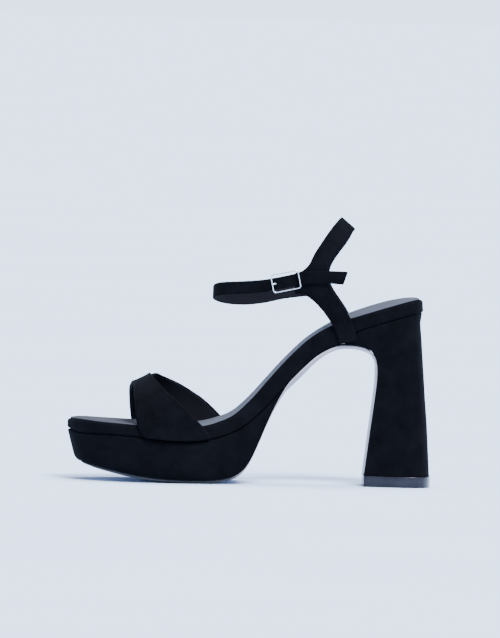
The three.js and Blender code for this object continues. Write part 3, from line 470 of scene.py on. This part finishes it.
def swept(name, rings, slot_of):
    """A closed skin through rings of points, with flat ends; slot_of gives a face's material."""
    count, n = len(rings), len(rings[0])
    slots = [slot_of(i, k) for i in range(count - 1) for k in range(n)] + [0, 0]
    return make_piece(name, np.vstack(rings), ring_faces(count, n), slots)


# Sole
def insole_board():
    """Board with its rim rolled over at the top and the underside."""
    turns = np.linspace(0, math.pi / 2, BOARD_RIM_POINTS)
    rim = [(BOARD_RIM_IN * (1 - math.sin(t)), BOARD_RIM_DOWN * (1 - math.cos(t))) for t in turns]
    rim.append((0, BOARD_RIM_SIDE))
    layers = [(inset, ("below", depth)) for inset, depth in rim]
    layers += [(inset, ("above", depth)) for inset, depth in rim[::-1]]

    def place(x, y, value):
        side, depth = value
        return under_board(x, y, depth if side == "above" else board_thick(x) - depth)
    return layered("insole_rim", layers, (-PAST_END, PAST_END), place, BOARD_COLUMNS)


pad_rise = curve(PAD, "x", "rise")


def insole_sock():
    """Padded sock on the board, with a soft edge and a rise along its middle."""
    def place(x, y, height):
        return under_board(x, y, -height)

    def padded(point, share):
        point = point.copy()
        point[2] += float(pad_rise(point[0])) * (1 - (2 * share - 1) ** 2)
        return point
    return layered("insole", SOCK_SIDE, (-PAST_END, PAST_END), place, SOCK_COLUMNS, padded)


platform_x = curve(PLATFORM, "x", "footX")
platform_foot = curve(PLATFORM, "x", "footZ")


def platform_z(x):
    return np.maximum(platform_foot(x), FOREFOOT_FLAT)


def platform():
    """Block from the board's underside down to the sole, bellied at its side."""
    def place(x, y, down):
        top = under_board(x, y, board_thick(x) + GAP)
        foot = np.column_stack([platform_x(x), y, platform_z(x)])
        return top * (1 - down) + foot * down
    layers = [(inset, down) for down, inset in PLATFORM_SIDE]
    return layered("platform_cover", layers, (-PAST_END, PLATFORM["x"][-1]), place)


def heel():
    """Block heel with the rear of the board's outline at each of its levels."""
    row = heel_rows(HEEL)

    def place(x, y, i):
        if i < 0:
            return under_board(x, y, board_thick(x) + GAP)
        share = (x - HEEL_LIP) / (HEEL_TIP[0] - HEEL_LIP)
        across = row["frontX"][i] + (row["backX"][i] - row["frontX"][i]) * share
        up = row["frontZ"][i] + (row["backZ"][i] - row["frontZ"][i]) * share
        return np.column_stack([across, y * row["wide"][i], up])
    layers = [(HEEL_INSET, i) for i in range(-1, HEEL_LEVELS)]
    piece = layered("heel_cover", layers, (HEEL_LIP, PAST_END), place)
    add_bevel(piece, HEEL_EDGE)
    return piece


def top_lift():
    """Wearing piece under the heel."""
    def place(x, y, z):
        share = (x - HEEL_LIP) / (HEEL_TIP[0] - HEEL_LIP)
        across = LIFT_FRONT + (LIFT_BACK - LIFT_FRONT) * share
        return np.column_stack([across, y * HEEL["wide"][-1], np.full(len(x), float(z))])
    piece = layered("heel_tip", LIFT_SIDE, (HEEL_LIP, PAST_END), place)
    add_bevel(piece, LIFT_EDGE)
    return piece


def sole_path():
    """Rows of x, z, lateral and medial half widths and inset, from the toe to the foot of the breast."""
    line = []
    for x in np.linspace(TOE_TIP[0] + SOLE_TOE_INSET, PLATFORM["x"][-1] - 1, FOREFOOT_STATIONS):
        inset = SOLE_TOE_INSET + (SOLE_WAIST_INSET - SOLE_TOE_INSET) * float(smoothstep(x, *INSET_BLEND))
        sides = edge_at(x, "lateral"), edge_at(x, "medial")
        line.append((float(platform_x(x)), float(platform_z(x)), *sides, inset))
    for x in np.linspace(PLATFORM["x"][-1] + 2, HEEL_LIP - 2, WAIST_STATIONS):
        point = under_board(np.array([x]), 0, board_thick(x))[0]
        line.append((point[0], point[2], edge_at(x, "lateral"), edge_at(x, "medial"), SOLE_WAIST_INSET))
    lateral, medial = edge_at(HEEL_LIP, "lateral"), edge_at(HEEL_LIP, "medial")
    breast = heel_rows(("frontX", "frontZ", "wide"))
    for x, z, wide in zip(*breast.values()):
        line.append((x, z, lateral * wide, medial * wide, SOLE_WAIST_INSET + HEEL_INSET))
    line = np.array(line)
    for passes, columns in ((PATH_PASSES, slice(0, 2)), (WIDTH_PASSES, slice(2, 5))):
        smooth(line[:, columns], passes)
    return line


def smooth(rows, passes):
    """Evens rows out in place and keeps the first and the last."""
    for _ in range(passes):
        rows[1:-1] = (rows[:-2] + 2 * rows[1:-1] + rows[2:]) / 4


def outsole():
    """Sole sheet from the toe along the waist and down the breast of the heel."""
    belly = curve(BELLY, "x", "rise")
    line = sole_path()
    along = np.gradient(line[:, [0, 2]], axis=0)
    along /= np.linalg.norm(along, axis=1)[:, None]
    down = np.column_stack([along[:, 1], -along[:, 0]])
    smooth(down, FACING_PASSES)
    breast_start = len(line) - HEEL_LEVELS
    rings = []
    for i, (x, z, lateral, medial, inset) in enumerate(line):
        flap = float(smoothstep(i - breast_start, *FLAP_BLEND))
        thick = SOLE_THICK + (FLAP_THICK - SOLE_THICK) * flap
        left, right = -(lateral - inset), medial - inset
        rise = float(belly(x))
        ring = []
        for share, deep in edge_profile(thick, right - left):
            bulge = rise * (1 - (2 * share - 1) ** 2) if deep > thick * BULGE_SHARE else 0
            y = left + (right - left) * share
            depth = GAP + deep + bulge
            ring.append((x + down[i, 0] * depth, y, max(z + down[i, 1] * depth, 0)))
        rings.append(np.array(ring))
    # The underside stays bare, and so does everything behind the forefoot; the forefoot's other faces take
    # the edge's painted shade under the platform
    bottom_start = TOP_POINTS + CORNER_POINTS - 1
    bottom_end = bottom_start + SOLE_COLUMNS - 1

    def shaded_edge_slot(i, k):
        return 0 if i > LAST_SHADED_EDGE_STATION or bottom_start <= k <= bottom_end else 1
    return swept("sole_sheet", rings, shaded_edge_slot)


def edge_profile(thick, wide):
    """Cross-section of a sheet with softly rounded lower edges: share across, and depth."""
    ring = [(0, 0), (0.25, 0), (0.5, 0), (0.75, 0), (1, 0), (1, thick * SIDE_SHARE)]
    corner = min(thick * 0.55, SOLE_CORNER)
    for t in np.linspace(0, math.pi / 2, CORNER_POINTS):
        ring.append((1 - corner * (1 - math.cos(t)) / wide, thick - corner + corner * math.sin(t)))
    for share in np.linspace(0.94, 0.06, SOLE_COLUMNS):
        ring.append((share, thick))
    for t in np.linspace(math.pi / 2, 0, CORNER_POINTS):
        ring.append((corner * (1 - math.cos(t)) / wide, thick - corner + corner * math.sin(t)))
    ring.append((0, thick * SIDE_SHARE))
    return ring


# Vamp
form_crest = curve(FORM, "x", "crest")
form_seam = curve(FORM, "x", "seam")


def form_sections(xs):
    """Sections of the forefoot's form at many places: an array of places by points by 3."""
    station = xs - board_thick(xs) * np.sin(board_tilt(xs))
    lateral = edge_at(station, "lateral") + FORM_CLEAR
    medial = edge_at(station, "medial") + FORM_CLEAR
    angle = np.linspace(0, math.pi, FORM_STEPS + 1)[None, :]
    cos, sin = np.cos(angle), np.abs(np.sin(angle))
    half = np.where(cos > 0, FORM_CREST_Y + lateral[:, None], medial[:, None] - FORM_CREST_Y)
    y = FORM_CREST_Y - np.sign(cos) * half * np.abs(cos) ** (2 / FORM_POWER)
    rise = sin ** (2 / FORM_POWER)
    z = form_seam(xs)[:, None] * (1 - rise) + form_crest(xs)[:, None] * rise
    return np.stack([np.broadcast_to(xs[:, None], y.shape), y, z], axis=2)


def on_form(xs, over, lift):
    """Points at one share of the way over the form, lifted square to it."""
    section = form_sections(xs)
    steps = np.linalg.norm(np.diff(section, axis=1), axis=2)
    out = []
    for s, length, up in zip(section, steps, np.broadcast_to(lift, len(xs))):
        sums = np.concatenate([[0], np.cumsum(length)])
        wanted = over * sums[-1]
        point = np.array([np.interp(wanted, sums, s[:, k]) for k in range(3)])
        ahead = np.array([np.interp(min(wanted + FORM_REACH, sums[-1]), sums, s[:, k]) for k in range(3)])
        back = np.array([np.interp(max(wanted - FORM_REACH, 0), sums, s[:, k]) for k in range(3)])
        along = ahead - back
        along /= np.linalg.norm(along)
        out.append(point + np.array([0, -along[2], along[1]]) * up)
    return np.array(out)


def vamp_strap(name, table, lift_at, crease):
    """One strap of the vamp with rounded edges; its lining is the second material."""
    front, back = curve(table, "over", "front"), curve(table, "over", "back")
    half = VAMP_WALL / 2
    rings = []
    for i in range(VAMP_ROWS + 1):
        over = table["over"][0] + (1 - table["over"][0]) * i / VAMP_ROWS
        edge_a, edge_b = float(front(over)), float(back(over))
        wide = edge_b - edge_a
        share = np.linspace(0, 1, VAMP_COLUMNS + 1)
        near = np.minimum(share, 1 - share) * wide
        round_off = np.sqrt(np.clip(1 - (1 - np.clip(near / half, 0, 1)) ** 2, 0, 1))
        xs = edge_a + wide * share
        rim = RIM_SWELL * np.exp(-((near - RIM_IN) / RIM_WIDE) ** 2)
        middle = lift_at(over) + half
        outer = on_form(xs, over, middle + half * round_off + rim + crease(xs, over))
        inner = on_form(xs, over, middle - half * round_off)
        rings.append(np.vstack([outer, inner[::-1]]))
    n = VAMP_COLUMNS + 1
    return swept(name, rings, lambda i, k: 1 if n <= k < 2 * n - 1 else 0)


def lateral_step(over):
    """How far the outer strap is lifted to lie over the inner one."""
    return VAMP_STEP * float(smoothstep(over, 0.08, 0.3))


def creases(deep, along, across, start, end):
    """Soft ridges across a strap that fade in between two shares of the way over."""
    def at(xs, over):
        return deep * np.sin(xs * along + over * across) * smoothstep(over, start, end)
    return at


# Straps at the ankle
def strap_rings(rows, wall):
    """Rounded cross-sections along a strap, its middle line, and the way that its outer side faces."""
    table = rows_of(STRAP_COLUMNS, [tuple(row) + (0,) * (7 - len(row)) for row in rows])
    table["step"] = np.arange(len(rows), dtype=float)
    fine = np.arange((len(rows) - 1) * STRAP_STEPS + 1) / STRAP_STEPS
    at = {name: curve(table, "step", name)(fine) for name in table}
    middle = np.column_stack([at["x"], at["y"], at["z"]])
    rings, outs = [], []
    last = len(fine) - 1
    corner = min(STRAP_CORNER, wall / 2)
    for i in range(last + 1):
        along = middle[min(i + 1, last)] - middle[max(i - 1, 0)]
        along /= np.linalg.norm(along)
        face, tip = math.radians(at["face"][i]), math.radians(at["tip"][i])
        outward = np.array([math.cos(face) * math.cos(tip), math.sin(face) * math.cos(tip), math.sin(tip)])
        outward -= along * outward.dot(along)
        outward /= np.linalg.norm(outward)
        across = np.cross(along, outward)
        half, deep = at["wide"][i] / 2, wall / 2
        ring = []
        for cx, cy, start in ((1, 1, 0.5), (1, -1, 0), (-1, -1, -0.5), (-1, 1, -1)):
            for t in np.linspace(0, 0.5, STRAP_CORNER_POINTS):
                turn = (start - t) * math.pi
                side = cx * (half - corner) + corner * math.cos(turn)
                out = cy * (deep - corner) + corner * math.sin(turn)
                ring.append(middle[i] + across * side + outward * out)
        rings.append(np.array(ring))
        outs.append(outward)
    return rings, middle, np.array(outs)


def junction_web():
    """Cross-sections of the junction's web, which lies in the band's own bend."""
    strap = rows_of(STRAP_COLUMNS, HEEL_STRAP)
    order = np.argsort(strap["z"])
    bend = curve({"z": strap["z"][order], "y": strap["y"][order]}, "z", "y")
    fine = np.linspace(WEB["x"][0], WEB["x"][-1], WEB_STATIONS)
    low, high = curve(WEB, "x", "low")(fine), curve(WEB, "x", "high")(fine)
    rings = []
    for x, bottom, top in zip(fine, low, high):
        z = np.linspace(bottom, top, WEB_LEVELS)
        across, middle = np.full(WEB_LEVELS, x), -bend(z)
        outer = np.column_stack([across, middle - WEB_WALL / 2, z])
        inner = np.column_stack([across, middle + WEB_WALL / 2, z])
        rings.append(np.vstack([outer, inner[::-1]]))
    return rings


def heel_strap():
    """Band, junctions and ankle strap as one piece of leather, its lining the second material."""
    lateral = [(x, -y, z, wide, -face, tip, 0) for x, y, z, wide, face, tip, _ in HEEL_STRAP]
    medial = [(x + behind, y, z, wide, face, tip, 0) for x, y, z, wide, face, tip, behind in HEEL_STRAP]
    band_line = [*lateral, HEEL_STRAP_BACK, *medial[::-1]]
    band, band_middle, band_out = strap_rings(band_line, HEEL_STRAP_WALL)
    ankle, ankle_middle, ankle_out = strap_rings(ANKLE_STRAP, ANKLE_STRAP_WALL)
    for k, ring in enumerate(ankle[-TAIL_RINGS:]):
        ring[:, 0] += (ring[:, 2] - ankle_middle[-1][2]) * TAIL_SLANT * (k + 1) / TAIL_RINGS
    points, faces = [], []
    for rings in (band, ankle, junction_web()):
        base, n = len(points), len(rings[0])
        for ring in rings:
            points.extend(ring)
        faces += [tuple(base + v for v in face) for face in ring_faces(len(rings), n)]
    piece = make_piece("ankle_straps", points, faces)
    join = piece.modifiers.new("join", "REMESH")
    join.mode = "VOXEL"
    join.voxel_size = JOIN_GRID * MM
    join.use_smooth_shade = True
    soften = piece.modifiers.new("soften", "SMOOTH")
    soften.factor = SOFTEN_SHARE
    soften.iterations = SOFTEN_PASSES
    shaped = piece.evaluated_get(bpy.context.evaluated_depsgraph_get())
    settled = bpy.data.meshes.new_from_object(shaped)
    piece.modifiers.clear()
    piece.data = settled
    settled.name = "ankle_straps"
    settled.shade_smooth()
    middles = np.vstack([band_middle, ankle_middle])
    outs = np.vstack([band_out, ankle_out])
    lining = []
    lookup = KDTree(len(middles))
    for i, point in enumerate(middles):
        lookup.insert(Vector(point * MM), i)
    lookup.balance()
    for polygon in settled.polygons:
        _, i, _ = lookup.find(polygon.center)
        lining.append(1 if polygon.normal.dot(Vector(outs[i])) < -0.5 else 0)
    settled.polygons.foreach_set("material_index", lining)
    return piece


# Buckle
def buckle_axes():
    """The ways along, up and out of the buckle, and its centre."""
    slope = math.radians(BUCKLE_SLOPE)
    along = np.array([math.cos(slope), 0, math.sin(slope)])
    up = np.array([-math.sin(slope), 0, math.cos(slope)])
    return along, up, np.array([0.0, -1, 0]), np.array(BUCKLE, float)


def tube(name, path, radii, sides, axis, flat=1, closed=False):
    """A tube along a path. Its section is flat times as long along the axis as across it."""
    path = np.asarray(path, float)
    n = len(path)
    rings = []
    for i in range(n):
        before = path[(i - 1) % n] if closed else path[max(i - 1, 0)]
        after = path[(i + 1) % n] if closed else path[min(i + 1, n - 1)]
        along = (after - before) / np.linalg.norm(after - before)
        side = axis - along * axis.dot(along)
        side /= np.linalg.norm(side)
        other = np.cross(along, side)
        angle = np.linspace(0, 2 * math.pi, sides, endpoint=False)
        cos, sin = np.cos(angle), np.sin(angle)
        u = np.sign(cos) * np.abs(cos) ** METAL_SQUARE * radii[i] * flat
        v = np.sign(sin) * np.abs(sin) ** METAL_SQUARE * radii[i]
        rings.append(path[i] + side * u[:, None] + other * v[:, None])
    return make_piece(name, np.vstack(rings), ring_faces(n, sides, closed))


def buckle_frame():
    """Bar bent to a loop with rounded corners."""
    along, up, out, centre = buckle_axes()
    x, y = (FRAME_LONG - FRAME_BAR) / 2, (FRAME_HIGH - FRAME_BAR) / 2
    r = FRAME_CORNER - FRAME_BAR / 2
    corners = ((x - r, y - r, 0), (-x + r, y - r, 90), (-x + r, -y + r, 180), (x - r, -y + r, 270))
    path = []
    for cx, cy, start in corners:
        for t in np.linspace(0, 90, FRAME_CORNER_POINTS):
            a = math.radians(start + t)
            path.append(centre + along * (cx + r * math.cos(a)) + up * (cy + r * math.sin(a)))
    dense = []
    for i, point in enumerate(path):
        after = path[(i + 1) % len(path)]
        pieces = max(1, int(np.linalg.norm(after - point) / FRAME_SPACING))
        dense += [point + (after - point) * k / pieces for k in range(pieces)]
    radii = [FRAME_BAR / 2] * len(dense)
    return tube("buckle_ring", dense, radii, FRAME_SIDES, out, FRAME_DEEP / FRAME_BAR, True)


def buckle_prong():
    """Prong from the middle of the frame through the strap and over the frame's end."""
    along, _, out, centre = buckle_axes()
    table = rows_of("along out", PRONG_LINE)
    table["step"] = np.arange(len(PRONG_LINE), dtype=float)
    fine = np.linspace(0, len(PRONG_LINE) - 1, PRONG_STATIONS)
    places = zip(curve(table, "step", "along")(fine), curve(table, "step", "out")(fine))
    path = [centre + along * a + out * b for a, b in places]
    radii = PRONG_RADIUS - PRONG_TAPER * smoothstep(fine, *PRONG_NARROWS)
    radii[-3:] *= PRONG_END
    return tube("buckle_pin", path, radii, PRONG_SIDES, out)


# Materials
def noise(tree, scale, detail, rough, vector):
    """A soft random pattern."""
    node = tree.nodes.new("ShaderNodeTexNoise")
    node.inputs["Scale"].default_value = scale
    node.inputs["Detail"].default_value = detail
    node.inputs["Roughness"].default_value = rough
    tree.links.new(vector, node.inputs["Vector"])
    return node.outputs["Fac"]


def new_material(name):
    material = bpy.data.materials.new(name)
    material.use_nodes = True
    tree = material.node_tree
    shader = tree.nodes["Principled BSDF"]
    place = tree.nodes.new("ShaderNodeTexCoord").outputs["Object"]
    return material, tree, shader, place


def ramp(tree, fac, stops):
    node = tree.nodes.new("ShaderNodeValToRGB")
    elements = node.color_ramp.elements
    while len(elements) < len(stops):
        elements.new(0.5)
    for element, (place, colour) in zip(elements, stops):
        element.position = place
        element.color = (*colour, 1)
    tree.links.new(fac, node.inputs["Fac"])
    return node.outputs["Color"]


def bump(tree, shader, heights):
    """Bumps one after the other: (height output, distance in metres, strength)."""
    normal = None
    for height, distance, strength in heights:
        node = tree.nodes.new("ShaderNodeBump")
        node.inputs["Distance"].default_value = distance
        node.inputs["Strength"].default_value = strength
        tree.links.new(height, node.inputs["Height"])
        if normal is not None:
            tree.links.new(normal, node.inputs["Normal"])
        normal = node.outputs["Normal"]
    tree.links.new(normal, shader.inputs["Normal"])


def mapped(tree, value, low, high):
    """A number that runs from low to high with a pattern."""
    node = tree.nodes.new("ShaderNodeMapRange")
    node.inputs["From Min"].default_value = 0.3
    node.inputs["From Max"].default_value = 0.7
    node.inputs["To Min"].default_value = low
    node.inputs["To Max"].default_value = high
    tree.links.new(value, node.inputs["Value"])
    return node.outputs["Result"]


def shades(tree, fac, colours, low=0.3, high=0.7):
    """A colour that runs from the darkest to the lightest with a pattern."""
    return ramp(tree, fac, [(low, colours[0]), (high, colours[1])])


def cells(tree, scale, vector):
    """Distance to the edges of small cells, for a leather's grain."""
    node = tree.nodes.new("ShaderNodeTexVoronoi")
    node.feature = "DISTANCE_TO_EDGE"
    node.inputs["Scale"].default_value = scale
    tree.links.new(vector, node.inputs["Vector"])
    return node.outputs["Distance"]


def along_shoe(tree, place, start, end):
    """0 ahead of one place and 1 behind another, places in millimetres along the shoe."""
    split = tree.nodes.new("ShaderNodeSeparateXYZ")
    tree.links.new(place, split.inputs[0])
    node = tree.nodes.new("ShaderNodeMapRange")
    node.interpolation_type = "SMOOTHSTEP"
    node.inputs["From Min"].default_value = start * MM
    node.inputs["From Max"].default_value = end * MM
    tree.links.new(split.outputs["X"], node.inputs["Value"])
    return node.outputs["Result"]


def blend(tree, share, first, second, kind="FLOAT"):
    """Runs from the first to the second output by a share; the kind is FLOAT or RGBA."""
    node = tree.nodes.new("ShaderNodeMix")
    node.data_type = kind
    a, b, mixed = (2, 3, 0) if kind == "FLOAT" else (6, 7, 2)
    tree.links.new(share, node.inputs["Factor"])
    tree.links.new(first, node.inputs[a])
    tree.links.new(second, node.inputs[b])
    return node.outputs[mixed]


def suede_material():
    """Black suede whose nap varies in soft patches."""
    material, tree, shader, place = new_material("faux suede")
    patches = noise(tree, 90, 4, 0.6, place)
    nap = noise(tree, 2600, 3, 0.65, place)
    tree.links.new(shades(tree, patches, SUEDE_SHADES), shader.inputs["Base Color"])
    tree.links.new(mapped(tree, nap, 0.86, 0.97), shader.inputs["Roughness"])
    shader.inputs["IOR"].default_value = 1.09
    shader.inputs["Sheen Weight"].default_value = 0.008
    shader.inputs["Sheen Roughness"].default_value = 0.45
    shader.inputs["Sheen Tint"].default_value = (0.55, 0.62, 0.85, 1)
    bump(tree, shader, [(patches, 0.0004, 0.25), (nap, 0.00012, 0.5)])
    return material


def leather_material(name, colours, rough, grain_scale):
    """Leather with fine grain; rough is its lowest and highest roughness."""
    material, tree, shader, place = new_material(name)
    patches = noise(tree, 60, 3, 0.5, place)
    grain = cells(tree, grain_scale, place)
    fine = noise(tree, grain_scale * 2.5, 3, 0.6, place)
    tree.links.new(shades(tree, patches, colours), shader.inputs["Base Color"])
    tree.links.new(mapped(tree, fine, *rough), shader.inputs["Roughness"])
    bump(tree, shader, [(grain, GRAIN_DEPTH, 0.35), (fine, GRAIN_DEPTH * 0.5, 0.3)])
    return material


def insole_material():
    """Leather pad that shines at the waist and the seat and is napped and dull under the toes; its colour is
    darker under the toes as painted shade and lighter at the waist and seat as painted sheen.
    """
    material, tree, shader, place = new_material("insole leather")
    rear = along_shoe(tree, place, *SHINE_AND_PAINTED_SHEEN_BLEND)
    patches = noise(tree, 60, 3, 0.5, place)
    fine = noise(tree, 1700, 3, 0.6, place)
    grain = cells(tree, 700, place)
    toe_painted_shade = shades(tree, patches, PAD_TOE_PAINTED_SHADE)
    rear_painted_sheen = shades(tree, patches, PAD_REAR_PAINTED_SHEEN)
    # Painted shade under the toes runs into painted sheen at the waist and seat
    tree.links.new(blend(tree, rear, toe_painted_shade, rear_painted_sheen, "RGBA"), shader.inputs["Base Color"])
    dull = mapped(tree, fine, 0.8, 0.92)
    shine = mapped(tree, fine, 0.66, 0.78)
    tree.links.new(blend(tree, rear, dull, shine), shader.inputs["Roughness"])
    shader.inputs["IOR"].default_value = 1.16
    bump(tree, shader, [(grain, GRAIN_DEPTH, 0.3), (fine, FINE_DEPTH, 0.3)])
    return material


def sole_edge_shade_material():
    """Edge of the sole sheet: dark round the forefoot as painted shade under the platform, bare and pale from
    the waist back.
    """
    material, tree, shader, place = new_material("sole edge painted shade")
    fine = noise(tree, 1200, 3, 0.6, place)
    rear = along_shoe(tree, place, *BARE_BLEND)
    # Painted shade round the forefoot, the sole's bare colour behind it
    painted_shade = shades(tree, fine, EDGE_PAINTED_SHADE_COLOURS)
    bare = shades(tree, fine, SOLE_SHADES)
    tree.links.new(blend(tree, rear, painted_shade, bare, "RGBA"), shader.inputs["Base Color"])
    tree.links.new(mapped(tree, fine, 0.5, 0.7), shader.inputs["Roughness"])
    bump(tree, shader, [(fine, FINE_DEPTH, 0.3)])
    return material


def gloss_material():
    """Glossy black plastic of the wearing piece."""
    material, tree, shader, place = new_material("gloss heel tip")
    patches = noise(tree, 150, 3, 0.5, place)
    tree.links.new(shades(tree, patches, GLOSS_SHADES, 0.35, 0.65), shader.inputs["Base Color"])
    tree.links.new(mapped(tree, patches, 0.16, 0.26), shader.inputs["Roughness"])
    shader.inputs["IOR"].default_value = 1.32
    bump(tree, shader, [(noise(tree, 1500, 2, 0.5, place), 0.00005, 0.15)])
    return material


def chrome_material():
    """Polished plating of the buckle."""
    material, tree, shader, place = new_material("polished plating")
    patches = noise(tree, 400, 3, 0.5, place)
    tree.links.new(shades(tree, patches, PLATING_SHADES), shader.inputs["Base Color"])
    tree.links.new(mapped(tree, patches, 0.07, 0.14), shader.inputs["Roughness"])
    shader.inputs["Metallic"].default_value = 1
    bump(tree, shader, [(noise(tree, 3000, 2, 0.5, place), 0.00002, 0.12)])
    return material


def dress(piece, slot, nodes, *materials):
    """Gives a piece its materials and its body, and hides the nodes that it stands for; slot is not used."""
    for material in materials:
        piece.data.materials.append(material)
    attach(piece, "root")
    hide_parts(*nodes)


SUEDE = suede_material()
LINING = leather_material("strap lining", LINING_SHADES, (0.75, 0.9), 900)
LINING.node_tree.nodes["Principled BSDF"].inputs["IOR"].default_value = 1.12
INSOLE = insole_material()
SOLE_EDGE_SHADE = sole_edge_shade_material()
PALE = leather_material("pale sole sheet", SOLE_SHADES, (0.45, 0.6), 500)
GLOSS = gloss_material()
CHROME = chrome_material()

dress(insole_board(), "suede", ["insole_board"], SUEDE)
dress(insole_sock(), "insole_leather", ["insole_sock"], INSOLE)
dress(platform(), "suede", ["platform"], SUEDE)
dress(heel(), "suede", ["heel"], SUEDE)
dress(top_lift(), "lift", ["top_lift"], GLOSS)
dress(outsole(), "sole_leather", ["outsole"], PALE, SOLE_EDGE_SHADE)

outer_crease = creases(0.072, 0.55, 9, 0.25, 0.5)
inner_crease = creases(0.10, 0.45, -12, 0.5, 0.7)
outer_strap = vamp_strap("vamp_outer_strap", LATERAL_STRAP, lateral_step, outer_crease)
inner_strap = vamp_strap("vamp_inner_strap", MEDIAL_STRAP, lambda over: 0.0, inner_crease)
for strap in (outer_strap, inner_strap):
    dress(strap, "suede", ["vamp"], SUEDE, LINING)

dress(heel_strap(), "suede", ["heel_strap"], SUEDE, LINING)
dress(buckle_frame(), "buckle_metal", ["buckle_frame"], CHROME)
dress(buckle_prong(), "buckle_metal", ["buckle_prong"], CHROME)


# Studio: open floor, a glow that fades upward, two sun lamps and the camera
def studio_floor():
    material, tree, shader, place = new_material("studio paper")
    patches = noise(tree, 3, 2, 0.5, place)
    tree.links.new(shades(tree, patches, PAPER_SHADES), shader.inputs["Base Color"])
    shader.inputs["Roughness"].default_value = 0.9
    shader.inputs["Specular IOR Level"].default_value = 0
    turns = [math.tau * i / FLOOR_TURNS for i in range(FLOOR_TURNS)]
    rim = [(FLOOR_REACH * math.cos(turn), FLOOR_REACH * math.sin(turn), 0) for turn in turns]
    mesh = bpy.data.meshes.new("studio_floor")
    mesh.from_pydata(rim, [], [tuple(range(FLOOR_TURNS))])
    floor = bpy.data.objects.new("studio_floor", mesh)
    floor.data.materials.append(material)
    bpy.context.scene.collection.objects.link(floor)


def studio_glow():
    world = bpy.data.worlds.new("studio")
    bpy.context.scene.world = world
    world.use_nodes = True
    sky = world.node_tree
    heading = sky.nodes.new("ShaderNodeTexCoord")
    parts = sky.nodes.new("ShaderNodeSeparateXYZ")
    sky.links.new(heading.outputs["Generated"], parts.inputs[0])
    glow = ramp(sky, parts.outputs["Z"], [(0, HORIZON), (0.06, HORIZON), (0.4, OVERHEAD)])
    sky.links.new(glow, sky.nodes["Background"].inputs["Color"])


def lamp(name, azimuth, elevation, strength, spread, colour):
    """A sun lamp from a heading and a height in degrees; spread is how wide it looks."""
    data = bpy.data.lights.new(name, "SUN")
    data.energy = strength
    data.angle = math.radians(spread)
    data.color = colour
    light = bpy.data.objects.new(name, data)
    turn, rise = math.radians(azimuth), math.radians(elevation)
    way = Vector((math.cos(rise) * math.cos(turn), math.cos(rise) * math.sin(turn), math.sin(rise)))
    light.location = 2 * way
    light.rotation_mode = "QUATERNION"
    light.rotation_quaternion = (-way).to_track_quat("-Z", "Y")
    bpy.context.scene.collection.objects.link(light)


def camera():
    azimuth, elevation, roll = (math.radians(v) for v in CAMERA_TURN)
    sin_a, cos_a = math.sin(azimuth), math.cos(azimuth)
    sin_e, cos_e = math.sin(elevation), math.cos(elevation)
    right = Vector((cos_a, sin_a, 0))
    up = Vector((-sin_a * sin_e, cos_a * sin_e, cos_e))
    ahead = Vector((-sin_a * cos_e, cos_a * cos_e, -sin_e))
    turned_right = right * math.cos(roll) + up * math.sin(roll)
    turned_up = up * math.cos(roll) - right * math.sin(roll)
    place = (Vector(CAMERA_TARGET) - ahead * CAMERA_DISTANCE) * MM
    data = bpy.data.cameras.new("camera")
    data.sensor_width = SENSOR
    data.lens = PIXELS_PER_MM * CAMERA_DISTANCE * SENSOR / PICTURE_HIGH
    data.clip_start, data.clip_end = NEAREST, FARTHEST
    cam = bpy.data.objects.new("camera", data)
    rows = [(*row, at) for row, at in zip(zip(turned_right, turned_up, -ahead), place)]
    cam.matrix_world = Matrix((*rows, (0, 0, 0, 1)))
    bpy.context.scene.collection.objects.link(cam)
    bpy.context.scene.camera = cam


studio_floor()
studio_glow()
lamp("key", -70, 48, 8, 24, (1, 1, 1))
lamp("overhead", 60, 75, 4.2, 40, (0.96, 0.98, 1))
camera()
